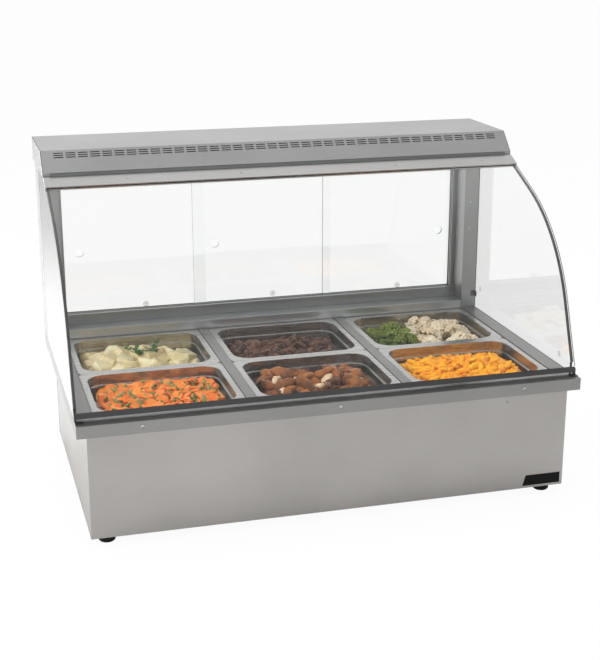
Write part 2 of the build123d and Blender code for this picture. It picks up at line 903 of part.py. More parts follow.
def side_edge_seals():
    """Soft strips on the curved edges of the end panes, as far up as the trim of the front glass."""
    strip = drawn_out(side_outline(glass + side_seal_gap), side_x) - hinge_notch()
    strip -= drawn_out(side_outline(side_edge_depth), side_x)
    lips = trim_wall + seat_gap
    strip -= along_x(glass_channel(top_point, trim_start - lips, trim_end + trim_length, lips), side_x)
    return [strip, mirrored(strip)]


def glass_clips():
    """Angle clips that hold the end panes to the rear posts."""
    x_glass = side_x[0]
    clips = []
    for low in (clip_low, clip_high):
        z = (deck_top + low, deck_top + low + clip_height)
        clip = block((x_glass - clip_leg, x_glass), (post_y - sheet, post_y), z)
        clip += block((x_glass - sheet, x_glass), (post_y - clip_leg, post_y), z)
        clips += [clip, mirrored(clip)]
    return clips


def hood_seal():
    """The rubber bead on the hood's lip, just above the top trim of the closed glass."""
    x = both(hood_half - hood_seal_inset)
    low = trim_top_z + seat_gap
    return block(x, (hood_lip_y - hood_seal_depth, hood_lip_y), (low, low + hood_seal_height))


# Controls


panel_y = (body_rear_y, body_rear_y + sheet)
rocker_pivot_y = panel_y[1] - rocker_sunk


def control_panel():
    """The plate over the control opening, cut for a shaft, two rockers and a pilot light."""
    half = panel_height / 2
    panel = block(panel_face_x, panel_y, (panel_z - half, panel_z + half))
    panel -= rod_y(shaft_hole_radius, knob_x, panel_y, panel_z)
    panel -= rod_y(pilot_radius + seat_gap, pilot_x, panel_y, panel_z)
    for x in switch_centres:
        panel -= upright(grow(rocker_well(x), bezel_sleeve), panel_y)
    return panel


def rocker_well(x):
    """The opening that a rocker swings in, as an (x span, z span) footprint and a y span."""
    half_x = rocker_width / 2 + rocker_play
    half_z = rocker_half_height + rocker_swing
    return (x - half_x, x + half_x), (panel_z - half_z, panel_z + half_z)


def switch_bodies():
    """The two switch housings, each with a raised bezel and a sleeve through the panel."""
    front = panel_y[1] + bezel_wall
    bodies = []
    for x in switch_centres:
        well = rocker_well(x)
        sleeve = grow(well, bezel_sleeve)
        housing = upright(grow(sleeve, bezel_wall), (panel_y[1], front))
        housing += upright(sleeve, panel_y)
        housing += upright(grow(sleeve, bezel_wall), (panel_y[0] - switch_depth, panel_y[0]))
        bodies.append(housing - upright(well, (panel_y[0] - rocker_half_height, front)))
    return bodies


def rocker(x):
    """A rocker paddle in its off position, with a shallow V face and a pin at each side."""
    tip = rocker_face + rocker_dip
    half = rocker_half_height
    outline = [
        (-rocker_back, 0), (-rocker_dip, -half), (tip, -half),
        (rocker_face, 0), (tip, half), (-rocker_dip, half),
    ]
    paddle = along_x(outline, both(rocker_width / 2))
    paddle += rod_x(rocker_pin_radius, both(rocker_width / 2 + rocker_play - seat_gap), 0, 0)
    return Pos(x, rocker_pivot_y, panel_z) * Rot(rocker_tilt, 0, 0) * paddle


def thermostat():
    """The thermostat behind the panel, with its shaft through the plate."""
    half = thermostat_width / 2
    y = (panel_y[0] - thermostat_depth, panel_y[0])
    body = block((knob_x - half, knob_x + half), y, (panel_z - half, panel_z + half))
    return body + rod_y(shaft_radius, knob_x, (panel_y[0], panel_y[1] + shaft_reach), panel_z)


def thermostat_knob():
    """The ribbed dial on the thermostat's shaft, with a raised pointer."""
    y = (panel_y[1] + seat_gap, panel_y[1] + seat_gap + knob_length)
    knob = rod_y(knob_radius, knob_x, y, panel_z)
    for place in PolarLocations(knob_radius, knob_grips):
        spot = place.position
        knob -= rod_y(knob_grip_radius, knob_x + spot.X, (y[0] + sheet, y[1]), panel_z + spot.Y)
    pointer = (panel_z, panel_z + knob_radius - 2 * knob_grip_radius)
    knob += block((knob_x - sheet, knob_x + sheet), (y[1], y[1] + sheet), pointer)
    bore_y = (y[0], panel_y[1] + shaft_reach + seat_gap)
    return knob - rod_y(shaft_radius + running_gap, knob_x, bore_y, panel_z)


def pilot_lamp():
    """The amber pilot light, a stem through the panel and a low dome."""
    stem = rod_y(pilot_radius, pilot_x, (panel_y[0] - pilot_stem, panel_y[1]), panel_z)
    return stem + rod_y(pilot_dome, pilot_x, (panel_y[1], panel_y[1] + pilot_proud), panel_z)


def power_inlet():
    """The flanged supply inlet with three flat pins in its recess."""
    half_x = inlet_width / 2
    half_z = inlet_height / 2
    outer_y = body_rear_y + inlet_flange
    flange = (inlet_x - half_x, inlet_x + half_x), (panel_z - half_z, panel_z + half_z)
    core = inlet_core()
    floor_y = outer_y - inlet_recess
    inlet = upright(flange, (body_rear_y, outer_y)) + upright(core, (outer_y - inlet_depth, outer_y))
    inlet -= upright(grow(core, -sheet), (floor_y, outer_y))
    pin_y = (floor_y, outer_y - inlet_flange)
    for across, lift in ((-1, -1), (0, 1), (1, -1)):
        x = inlet_x + across * inlet_pin_pitch
        z = panel_z + lift * inlet_pin_pitch / 2
        inlet += upright(((x - inlet_pin / 2, x + inlet_pin / 2), (z - inlet_pin, z + inlet_pin)), pin_y)
    return inlet


def terminal_block():
    """The stepped terminal strip on the floor of the case, behind the inlet."""
    floor = body_bottom + sheet
    y = body_rear_y - 3 * terminal_depth
    x = (inlet_x - terminal_length / 2, inlet_x + terminal_length / 2)
    strip = block(x, (y, y + terminal_depth), (floor, floor + terminal_height))
    step = terminal_length / terminal_ways
    top = Pos(inlet_x, y + terminal_depth / 2, floor + terminal_height)
    for place in GridLocations(step, 1, terminal_ways, 1):
        strip -= top * place * Cylinder(step / 4, terminal_height)
    return strip


# Drain


drain_exit_y = body_rear_y + sheet


def drain_pipe():
    """The bent outlet from the floor of the well to the operator's side."""
    top = (drain_x, drain_y, tank_bottom)
    corner = (drain_x, drain_y, drain_low_z)
    path = FilletPolyline(top, corner, (drain_x, drain_exit_y, drain_low_z), radius=drain_bend)
    start = Plane(origin=top, z_dir=(0, 0, -1))
    pipe = sweep(start * Circle(drain_radius), path=path)
    return pipe - sweep(start * Circle(drain_radius - drain_wall), path=path)


def drain_valve():
    """The ball valve body on the end of the pipe, with the stem for its lever."""
    y = (drain_exit_y, drain_exit_y + valve_length)
    valve = rod_y(valve_radius, drain_x, y, drain_low_z)
    valve = chamfer(valve.edges().filter_by(GeomType.CIRCLE), sheet)
    middle = (y[0] + y[1]) / 2
    stem_top = drain_low_z + valve_radius + valve_stem_height
    valve += rod_z(valve_stem_radius, drain_x, middle, (drain_low_z + valve_radius - sheet, stem_top))
    closed_y = (middle + valve_stem_radius, y[1])
    return valve - rod_y(drain_radius - drain_wall, drain_x, closed_y, drain_low_z)


def drain_lever():
    """The lever that turns on the valve's stem, across the pipe when closed."""
    y = drain_exit_y + valve_length / 2
    low = drain_low_z + valve_radius + seat_gap
    z = (low, low + lever_thickness)
    half = lever_width / 2
    lever = rod_z(half, drain_x, y, z) + block((drain_x, drain_x + lever_length), (y - half, y + half), z)
    lever += rod_z(half, drain_x + lever_length, y, z)
    return lever - rod_z(valve_stem_radius + running_gap, drain_x, y, z)


# Every node of the bar


def build_nodes():
    """All the separate pieces by name."""
    nodes = {
        "body_shell": body_shell(), "base_plate": base_plate(), "feet": feet(),
        "front_plate": front_plate(), "case_screws": case_screws(),
        "deck": deck(), "pan_dividers": pan_dividers(), "well_tank": well_tank(),
        "element_brackets": element_brackets(), "rear_sill": rear_sill(),
        "door_track_lower": door_track_lower(), "door_track_upper": door_track_upper(),
        "door_jambs": door_jambs(), "hood_cover": hood_cover(), "lamp_tray": lamp_tray(),
        "heat_lamps": heat_lamps(), "front_glass": front_glass(), "glass_top_trim": glass_top_trim(),
        "glass_bottom_rail": glass_bottom_rail(), "hinge_brackets": hinge_brackets(),
        "trim_bumper": trim_bumper(), "side_edge_seals": side_edge_seals(), "glass_clips": glass_clips(),
        "hood_seal": hood_seal(), "control_panel": control_panel(), "switch_bodies": switch_bodies(),
        "thermostat": thermostat(), "thermostat_knob": thermostat_knob(), "pilot_lamp": pilot_lamp(),
        "power_inlet": power_inlet(), "terminal_block": terminal_block(), "drain_pipe": drain_pipe(),
        "drain_valve": drain_valve(), "drain_lever": drain_lever(),
    }
    for name, y in zip(("front", "rear"), row_centres):
        nodes[f"element_{name}"] = heating_element(y)
    for name, x in zip(("heat_switch", "lamp_switch"), switch_centres):
        nodes[name] = rocker(x)
    for name, side in (("left", -1), ("right", 1)):
        nodes[f"post_{name}"] = rear_post(side)
        nodes[f"hood_end_{name}"] = hood_end(side)
        nodes[f"side_glass_{name}"] = side_glass(side)
    nodes["door_left"] = sliding_door(-outer_door_x, groove_front_y, outer_hole_inset)
    nodes["door_right"] = sliding_door(outer_door_x, groove_front_y, door_width - outer_hole_inset)
    nodes["door_middle"] = sliding_door(middle_door_offset, groove_rear_y, middle_hole_inset)
    menu = (
        (("carrots_and_beans", food_high), ("roast_chicken", food_high), ("pumpkin", food_high)),
        (("potatoes", food_low), ("beef_stew", food_low), ("broccoli_and_cauliflower", food_high)),
    )
    for row, y, dishes in zip(("front", "rear"), row_centres, menu):
        for column, x, (dish, height) in zip(("left", "middle", "right"), column_centres, dishes):
            nodes[f"pan_{row}_{column}"] = food_pan(x, y)
            nodes[dish] = food_mound(x, y, height)
    return nodes


def main():
    os.makedirs("parts", exist_ok=True)
    for name, shape in build_nodes().items():
        solids = shape if isinstance(shape, list) else [shape]
        whole = Compound([solid for piece in solids for solid in piece.solids()])
        whole = whole.solids()[0] if len(whole.solids()) == 1 else whole
        export_step(whole, f"parts/{name}.step")


if __name__ == "__main__":
    main()
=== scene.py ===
# %% [markdown]
# A hot food bar is mostly folded stainless steel and clear glass, so its looks rest on three things:
# soft edges that catch light, brushed metal that isn't one flat grey, and food that reads as food.
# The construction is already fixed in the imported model, so the first step only loads it.

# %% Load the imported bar
import json
import math
import random

import bmesh
import bpy
from mathutils import Matrix, Vector, noise


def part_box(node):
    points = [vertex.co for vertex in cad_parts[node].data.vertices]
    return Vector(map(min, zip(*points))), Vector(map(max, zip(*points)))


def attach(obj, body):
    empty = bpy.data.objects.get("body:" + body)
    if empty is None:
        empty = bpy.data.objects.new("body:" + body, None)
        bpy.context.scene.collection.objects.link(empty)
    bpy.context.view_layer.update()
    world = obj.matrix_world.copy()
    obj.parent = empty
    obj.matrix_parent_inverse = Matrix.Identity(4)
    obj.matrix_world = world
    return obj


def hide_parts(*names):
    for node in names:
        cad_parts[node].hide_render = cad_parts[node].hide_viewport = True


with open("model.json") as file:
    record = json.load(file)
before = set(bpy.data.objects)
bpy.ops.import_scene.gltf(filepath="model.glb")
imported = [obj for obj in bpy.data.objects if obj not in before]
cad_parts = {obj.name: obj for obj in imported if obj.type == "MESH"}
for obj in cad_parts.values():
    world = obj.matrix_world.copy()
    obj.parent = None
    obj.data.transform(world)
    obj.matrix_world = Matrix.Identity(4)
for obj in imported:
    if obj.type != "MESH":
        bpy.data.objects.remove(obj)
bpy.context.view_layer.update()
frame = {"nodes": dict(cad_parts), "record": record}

MM = 0.001

# %% [markdown]
# The photograph looks down on the bar from the left of its front. The lens and the place of the
# camera were worked out once from the edges of the food pans, whose real size is known. Turning the
# camera about Z by the yaw and about its own X by the pitch keeps the two angles apart.

# %% Camera
CAMERA_PLACE = (-0.7904, -2.8549, 1.2486)
CAMERA_YAW = 0.27207
CAMERA_PITCH = -0.29962
LENS_MM = 72.5
FAR_LIMIT = 50

camera = bpy.data.objects.new("camera", bpy.data.cameras.new("camera"))
camera.data.lens = LENS_MM
camera.data.clip_end = FAR_LIMIT
camera.location = CAMERA_PLACE
camera.rotation_euler = (math.pi / 2 + CAMERA_PITCH, 0, -CAMERA_YAW)
bpy.context.scene.collection.objects.link(camera)
bpy.context.scene.camera = camera
bpy.context.scene.view_settings.view_transform = "Standard"
print("camera at", CAMERA_PLACE)

# %% [markdown]
# Every finish is a small tree of nodes. A few helpers keep the trees readable: they start a
# material, read a noise on the object's own coordinates, turn a grey value into a blend of two
# colours or into a range of values, and raise the surface. Object coordinates stay put on the metal
# when a part moves.


# %% Material helpers
def new_material(name, color, roughness, metallic=0.0):
    """A material with its plain values set on the shader's own sockets."""
    material = bpy.data.materials.new(name)
    material.use_nodes = True
    shader = material.node_tree.nodes["Principled BSDF"]
    shader.inputs["Base Color"].default_value = (*color, 1)
    shader.inputs["Roughness"].default_value = roughness
    shader.inputs["Metallic"].default_value = metallic
    return material, material.node_tree, shader


def object_noise(tree, scale, stretch=(1, 1, 1), detail=4):
    """Noise on the object's own coordinates, drawn out by a stretch along each axis."""
    coords = tree.nodes.new("ShaderNodeTexCoord")
    mapping = tree.nodes.new("ShaderNodeMapping")
    mapping.inputs["Scale"].default_value = stretch
    texture = tree.nodes.new("ShaderNodeTexNoise")
    texture.inputs["Scale"].default_value = scale
    texture.inputs["Detail"].default_value = detail
    tree.links.new(coords.outputs["Object"], mapping.inputs["Vector"])
    tree.links.new(mapping.outputs["Vector"], texture.inputs["Vector"])
    return texture.outputs["Fac"]


def two_colors(tree, value, low, high, start=0.35, stop=0.65):
    """Colour from low to high as a value goes from start to stop."""
    ramp = tree.nodes.new("ShaderNodeValToRGB")
    ramp.color_ramp.elements[0].color = (*low, 1)
    ramp.color_ramp.elements[0].position = start
    ramp.color_ramp.elements[1].color = (*high, 1)
    ramp.color_ramp.elements[1].position = stop
    tree.links.new(value, ramp.inputs["Fac"])
    return ramp.outputs["Color"]


def spread(tree, value, low, high):
    """A value between 0 and 1 spread over a range of roughness."""
    remap = tree.nodes.new("ShaderNodeMapRange")
    remap.inputs["To Min"].default_value = low
    remap.inputs["To Max"].default_value = high
    tree.links.new(value, remap.inputs["Value"])
    return remap.outputs["Result"]


def spread_between(tree, value, start, stop):
    """0 below start and 1 above stop, with a straight change between."""
    remap = tree.nodes.new("ShaderNodeMapRange")
    remap.inputs["From Min"].default_value = start
    remap.inputs["From Max"].default_value = stop
    tree.links.new(value, remap.inputs["Value"])
    return remap.outputs["Result"]


def add_bump(tree, shader, value, strength, distance):
    """Raises the surface by a value, over a distance in metres."""
    bump = tree.nodes.new("ShaderNodeBump")
    bump.inputs["Strength"].default_value = strength
    bump.inputs["Distance"].default_value = distance
    tree.links.new(value, bump.inputs["Height"])
    tree.links.new(bump.outputs["Normal"], shader.inputs["Normal"])


print("material helpers ready")

# %% [markdown]
# Brushed stainless steel has fine scratches along the sheet and slow, cloudy changes in tone from
# handling. Two noises give both: one is stretched almost into lines, the other is broad. The lines
# change roughness and height, and the clouds change the tint a little.


# %% Metals
LINE_SCALE = 14
LINE_STRETCH = 60
LINE_HEIGHT = 0.3 * MM
CLOUD_SCALE = 5
CLOUD_RANGE = (0.3, 0.7)
SMOOTHER, ROUGHER = 0.06, 0.08


def brushed_metal(name, color, roughness, along="X", cloud=0.06, metallic=0.9, scratch=0.05):
    """Brushed sheet metal whose fine lines run along one axis."""
    material, tree, shader = new_material(name, color, roughness, metallic)
    stretch = [1 if axis == along else LINE_STRETCH for axis in "XYZ"]
    lines = object_noise(tree, LINE_SCALE, stretch, detail=3)
    clouds = object_noise(tree, CLOUD_SCALE, detail=5)
    low = [c * (1 - cloud) for c in color]
    high = [min(1, c * (1 + cloud)) for c in color]
    tree.links.new(two_colors(tree, clouds, low, high, *CLOUD_RANGE), shader.inputs["Base Color"])
    streaks = spread(tree, lines, roughness - SMOOTHER, roughness + ROUGHER)
    tree.links.new(streaks, shader.inputs["Roughness"])
    add_bump(tree, shader, lines, scratch, LINE_HEIGHT)
    return material


# The stainless parts are one steel; their base colours differ part by part partly as painted light and
# shade: the hood is lighter as its top faces the light, and darker ones such as the deck, tracks and
# posts stand for parts that lie in shade or mirror the dark inside of the bar.
case_steel = brushed_metal("case_steel", (0.385, 0.37, 0.355), 0.36)
deck_steel = brushed_metal("deck_steel", (0.265, 0.262, 0.258), 0.34)
hood_steel = brushed_metal("hood_steel", (0.44, 0.44, 0.445), 0.38)
cheek_steel = brushed_metal("cheek_steel", (0.21, 0.21, 0.21), 0.4)
tray_steel = brushed_metal("tray_steel", (0.2, 0.2, 0.2), 0.38)
sill_steel = brushed_metal("sill_steel", (0.48, 0.495, 0.5), 0.34)
track_grey = brushed_metal("track_grey", (0.25, 0.26, 0.26), 0.36)
post_steel = brushed_metal("post_steel", (0.28, 0.29, 0.285), 0.34, along="Z")
pan_steel = brushed_metal("pan_steel", (0.52, 0.515, 0.50), 0.26, cloud=0.1, metallic=1.0)
trim_steel = brushed_metal("trim_steel", (0.5, 0.495, 0.49), 0.36)
rail_steel = brushed_metal("rail_steel", (0.22, 0.22, 0.225), 0.3)
# This dark steel serves the hinge brackets and clips, and also paints shade: in screw sockets, as shadow
# rings round screws, and on the rail's top and bottom, which lie in shadow and sealant.
dark_metal_and_shade = brushed_metal("dark_metal_and_shade", (0.12, 0.12, 0.125), 0.34)
screw_metal = brushed_metal("screw_metal", (0.7, 0.7, 0.71), 0.3)
valve_metal = brushed_metal("valve_metal", (0.62, 0.56, 0.42), 0.3)
heater_metal = brushed_metal("heater_metal", (0.14, 0.13, 0.13), 0.45)
print("metals", len(bpy.data.materials))

# %% [markdown]
# Plastics and rubbers are not flat either: moulding leaves a fine grain, and use leaves some patches
# a little shinier. One function makes them all, with the size of the grain as the main choice.


# %% Plastics and rubber
GRAIN_HEIGHT = 0.08 * MM
POLISHED_HEIGHT = 0.01 * MM
GRAIN_STRENGTH = 0.3
WEAR_SCALE = 30
WEAR = 0.07


def moulded(name, color, roughness, grain=900, height=GRAIN_HEIGHT, sheen=0.5):
    """Plastic or rubber with a fine moulded grain and slightly uneven sheen."""
    material, tree, shader = new_material(name, color, roughness)
    shader.inputs["Specular IOR Level"].default_value = sheen
    fine = object_noise(tree, grain, detail=2)
    broad = object_noise(tree, WEAR_SCALE, detail=3)
    tree.links.new(spread(tree, broad, roughness - WEAR, roughness + WEAR), shader.inputs["Roughness"])
    paler = [min(1, c * 1.2 + 0.001) for c in color]
    tree.links.new(two_colors(tree, broad, color, paler), shader.inputs["Base Color"])
    add_bump(tree, shader, fine, GRAIN_STRENGTH, height)
    return material


black_rubber = moulded("black_rubber", (0.009, 0.009, 0.009), 0.6, sheen=0.25)
seal_rubber = moulded("seal_rubber", (0.03, 0.032, 0.032), 0.5)
black_plastic = moulded("black_plastic", (0.02, 0.02, 0.021), 0.42)
gloss_plastic = moulded("gloss_plastic", (0.02, 0.02, 0.022), 0.2, height=POLISHED_HEIGHT)
cream_plastic = moulded("cream_plastic", (0.72, 0.69, 0.58), 0.45)
red_plastic = moulded("red_plastic", (0.42, 0.03, 0.025), 0.35)
plate_black = moulded("plate_black", (0.004, 0.004, 0.004), 0.4, grain=300, sheen=0.12)
amber_lens = moulded("amber_lens", (0.85, 0.33, 0.03), 0.15, height=POLISHED_HEIGHT)
ceramic = moulded("ceramic", (0.8, 0.78, 0.72), 0.35)
print("plastics", len(bpy.data.materials))

# %% [markdown]
# Clear glass is a full transmission shader, but a real lamp would light the food through it and a
# path tracer needs many samples for that. For shadow rays the glass is therefore swapped for plain
# transparency, which only affects how light gets in. Cut edges are greener and darker than faces.


# %% Glass
GLASS_IOR = 1.45
SMUDGE_SCALE = 3
SMUDGE_ROUGHNESS = 0.015


def clear_glass(name, tint, roughness=0.0):
    """Clear glass that lets shadow rays straight through."""
    material, tree, shader = new_material(name, tint, roughness)
    shader.inputs["Transmission Weight"].default_value = 1.0
    shader.inputs["IOR"].default_value = GLASS_IOR
    smudge = object_noise(tree, SMUDGE_SCALE, detail=6)
    smudged = spread(tree, smudge, roughness, roughness + SMUDGE_ROUGHNESS)
    tree.links.new(smudged, shader.inputs["Roughness"])
    output = tree.nodes["Material Output"]
    clear = tree.nodes.new("ShaderNodeBsdfTransparent")
    clear.inputs["Color"].default_value = (*tint, 1)
    path = tree.nodes.new("ShaderNodeLightPath")
    mix = tree.nodes.new("ShaderNodeMixShader")
    tree.links.new(path.outputs["Is Shadow Ray"], mix.inputs["Fac"])
    tree.links.new(shader.outputs["BSDF"], mix.inputs[1])
    tree.links.new(clear.outputs["BSDF"], mix.inputs[2])
    tree.links.new(mix.outputs["Shader"], output.inputs["Surface"])
    return material


pane_glass = clear_glass("pane_glass", (0.972, 0.977, 0.974))
edge_glass = clear_glass("edge_glass", (0.12, 0.15, 0.14), 0.25)
print("glass ready")

# %% [markdown]
# The model's nodes come in as loose triangles with knife-sharp edges. Folded sheet has a small
# radius at every fold, which shows as a thin bright line. So each visible node gets a merged copy
# with its flat areas joined, a small bevel on its sharp edges and smooth shading on its curves. The
# copy rides on the same body and stands for the node. The rail under the curved glass shows steel
# at its front alone, and its top and bottom lie in shadow and sealant, so they get a darker metal.


# %% Dressed copies of the nodes
MERGE_DISTANCE = 0.01 * MM
FLAT_ANGLE = math.radians(0.5)
SHEET_FOLD = 0.5 * MM
PAN_FOLD = 0.4 * MM
FITTING_FOLD = 0.3 * MM
KNOB_FOLD = 0.6 * MM
SQUARE_ENOUGH = 0.7


def add_piece(name, bm, materials, body, smooth_angle=40):
    """Makes a mesh object from a bmesh, shades it and lets it ride on a body."""
    mesh = bpy.data.meshes.new(name)
    bm.to_mesh(mesh)
    bm.free()
    for extra in ("custom_normal", "sharp_edge"):
        if extra in mesh.attributes:
            mesh.attributes.remove(mesh.attributes[extra])
    mesh.shade_smooth()
    mesh.set_sharp_from_angle(angle=math.radians(smooth_angle))
    for material in materials:
        mesh.materials.append(material)
    piece = bpy.data.objects.new(name, mesh)
    bpy.context.scene.collection.objects.link(piece)
    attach(piece, body)
    return piece


def body_of_node(node):
    """The body that a node belongs to."""
    bodies = frame["record"]["behaviour"]["bodies"]
    return next(body for body, nodes in bodies.items() if node in nodes)


def dress(node, material, fold=SHEET_FOLD, smooth_angle=40, extra=()):
    """A merged, soft-edged copy of a node that stands for it."""
    source = frame["nodes"][node]
    bm = bmesh.new()
    bm.from_mesh(source.data)
    bmesh.ops.remove_doubles(bm, verts=bm.verts, dist=MERGE_DISTANCE)
    bmesh.ops.dissolve_limit(bm, angle_limit=FLAT_ANGLE, verts=bm.verts, edges=bm.edges)
    for face in bm.faces:
        face.material_index = 0
    piece = add_piece(node + "_dressed", bm, (material, *extra), body_of_node(node), smooth_angle)
    if fold:
        bevel = piece.modifiers.new("fold", "BEVEL")
        bevel.width = fold
        bevel.segments = 2
        bevel.limit_method = "ANGLE"
        bevel.angle_limit = math.radians(smooth_angle)
        bevel.harden_normals = True
    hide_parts(node)
    return piece


FOLDED = {
    case_steel: ("body_shell", "base_plate", "control_panel"),
    deck_steel: ("deck", "pan_dividers"),
    hood_steel: ("hood_cover",),
    cheek_steel: ("hood_end_left", "hood_end_right"),
    tray_steel: ("lamp_tray",),
    sill_steel: ("rear_sill",),
    track_grey: ("door_track_lower", "door_track_upper", "door_jambs", "hood_seal"),
    post_steel: ("post_left", "post_right"),
    trim_steel: ("glass_top_trim",),
    plate_black: ("front_plate",),
}
for metal, nodes in FOLDED.items():
    for node in nodes:
        dress(node, metal)
for row in ("front", "rear"):
    for column in ("left", "middle", "right"):
        dress(f"pan_{row}_{column}", pan_steel, fold=PAN_FOLD, smooth_angle=50)
rail = dress("glass_bottom_rail", rail_steel, extra=(dark_metal_and_shade,))
for face in rail.data.polygons:
    face.material_index = 0 if face.normal.y < -SQUARE_ENOUGH else 1
print("dressed", sum(len(nodes) for nodes in FOLDED.values()) + 7)

# %% [markdown]
# The panes are the same kind of copy, but their narrow sides get the darker edge glass. A face is
# an edge if it is narrow, and the normal tells which: the broad faces of an end pane point along X,
# those of the curved pane point anywhere but along X, and those of a door point along Y.


# %% Panes
def dress_pane(node, is_edge):
    """A merged copy of a pane whose cut edges have their own glass."""
    pane = dress(node, pane_glass, fold=0, smooth_angle=30, extra=(edge_glass,))
    for face in pane.data.polygons:
        face.material_index = 1 if is_edge(face.normal) else 0
    return pane


dress_pane("front_glass", lambda normal: abs(normal.x) > SQUARE_ENOUGH)
for side in ("left", "right"):
    dress_pane(f"side_glass_{side}", lambda normal: abs(normal.x) < SQUARE_ENOUGH)
for door in ("left", "middle", "right"):
    dress_pane(f"door_{door}", lambda normal: abs(normal.y) < SQUARE_ENOUGH)
print("panes dressed")

# %% [markdown]
# Small fittings keep their CAD shape and only need a finish, so each gets a dressed copy as well,
# with a smaller fold. The knob and the lever are held by hand, so their edges are rounder.

# %% Finishes of the small fittings
FITTINGS = {
    black_rubber: ("feet", "trim_bumper"),
    seal_rubber: ("side_edge_seals",),
    dark_metal_and_shade: ("hinge_brackets", "glass_clips"),
    black_plastic: ("thermostat", "switch_bodies", "power_inlet"),
    gloss_plastic: ("heat_switch", "lamp_switch"),
    amber_lens: ("pilot_lamp",),
    cream_plastic: ("terminal_block",),
    ceramic: ("heat_lamps",),
    heater_metal: ("element_front", "element_rear"),
    pan_steel: ("well_tank", "element_brackets"),
    valve_metal: ("drain_pipe", "drain_valve"),
}
for finish, nodes in FITTINGS.items():
    for node in nodes:
        dress(node, finish, fold=FITTING_FOLD)
dress("thermostat_knob", black_plastic, fold=KNOB_FOLD)
dress("drain_lever", red_plastic, fold=KNOB_FOLD)
print("fittings", sum(len(nodes) for nodes in FITTINGS.values()) + 2)


# %% [markdown]
# The screws are pan heads with a socket, ringed by a painted shadow. A low cone makes the head,
# insetting and pushing in its top face makes the socket, painted dark as shade, and a flat dark disc
# makes the painted shadow ring, so one short function serves every screw.


# %% Screws
HEAD_SEGMENTS = 24
HEAD_TOP = 0.72
SOCKET_INSET = 0.34
SOCKET_DEPTH = 0.6
SHADOW_RING_REACH = 1.2
SHADOW_RING_HEIGHT = 0.15 * MM


def add_disc(bm, centre, turn, radius, top_radius, height):
    """A low cone that stands on a centre along local Z, and the faces it has."""
    place = Matrix.Translation(centre) @ turn @ Matrix.Translation((0, 0, height / 2))
    made = bmesh.ops.create_cone(
        bm, cap_ends=True, segments=HEAD_SEGMENTS,
        radius1=radius, radius2=top_radius, depth=height, matrix=place,
    )
    return {face for vert in made["verts"] for face in vert.link_faces}


def add_disc_head(bm, centre, turn, radius, height):
    """A screw head with a socket painted dark as shade and a painted shadow ring, whose top points along
    local Z.
    """
    up = turn @ Vector((0, 0, 1))
    head = add_disc(bm, centre, turn, radius, radius * HEAD_TOP, height)
    top = max(head, key=lambda face: face.calc_center_median().dot(up))
    bmesh.ops.inset_region(bm, faces=[top], thickness=radius * SOCKET_INSET)
    bmesh.ops.translate(bm, verts=top.verts, vec=up * -height * SOCKET_DEPTH)
    # The socket takes the second, dark material as painted shade in the recess.
    top.material_index = 1
    # A flat dark disc round the head is a painted shadow ring.
    reach = radius * SHADOW_RING_REACH
    for face in add_disc(bm, centre, turn, reach, reach, SHADOW_RING_HEIGHT):
        face.material_index = 1


# The second material is the painted shade of the sockets and the shadow rings.
SCREW_AND_PAINTED_SHADE = (screw_metal, dark_metal_and_shade)
FACE_FRONT = Matrix.Rotation(math.pi / 2, 4, "X")
FACE_REAR = Matrix.Rotation(-math.pi / 2, 4, "X")
FACE_LEFT = Matrix.Rotation(-math.pi / 2, 4, "Y")


def islands(node):
    """The box of each separate solid of a node, as (low, high) pairs."""
    bm = bmesh.new()
    bm.from_mesh(frame["nodes"][node].data)
    bmesh.ops.remove_doubles(bm, verts=bm.verts, dist=MERGE_DISTANCE)
    seen = set()
    found = []
    for start in bm.verts:
        if start in seen:
            continue
        seen.add(start)
        stack = [start]
        group = []
        while stack:
            vert = stack.pop()
            group.append(vert.co.copy())
            for edge in vert.link_edges:
                other = edge.other_vert(vert)
                if other not in seen:
                    seen.add(other)
                    stack.append(other)
        found.append((Vector(map(min, zip(*group))), Vector(map(max, zip(*group)))))
    bm.free()
    return found


bm = bmesh.new()
for low, high in islands("case_screws"):
    centre = (low + high) / 2
    front = centre.y < 0
    centre.y = high.y if front else low.y
    turn = FACE_FRONT if front else FACE_REAR
    add_disc_head(bm, centre, turn, (high.x - low.x) / 2, high.y - low.y)
case_screws = add_piece("case_screws_dressed", bm, SCREW_AND_PAINTED_SHADE, "root")
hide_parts("case_screws")
print("case screws", len(islands("case_screws")))

# %% [markdown]
# The photograph shows tiny fixings that the construction doesn't need: dots along the top trim, a
# screw high on the case, two on the right post and two on the left end of the skirt. They are the
# same head at a smaller size, set on the surface that carries them.

# %% Small fixings
TRIM_DOT_XS = (-0.375, -0.115, 0.255, 0.475)
TRIM_SLOPE = math.radians(23)
TRIM_HALF_THICKNESS = 6 * MM
TRIM_DOT = (2.0 * MM, 0.5 * MM)
trim_low, trim_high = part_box("glass_top_trim")
trim_middle = ((trim_low[1] + trim_high[1]) / 2, (trim_low[2] + trim_high[2]) / 2)
trim_face_y = trim_middle[0] - TRIM_HALF_THICKNESS * math.sin(TRIM_SLOPE)
trim_face_z = trim_middle[1] + TRIM_HALF_THICKNESS * math.cos(TRIM_SLOPE)
tilt = Matrix.Rotation(TRIM_SLOPE, 4, "X")
bm = bmesh.new()
for x in TRIM_DOT_XS:
    add_disc_head(bm, Vector((x, trim_face_y, trim_face_z)), tilt, *TRIM_DOT)
add_piece("trim_rivets", bm, SCREW_AND_PAINTED_SHADE, "front_glass_frame")

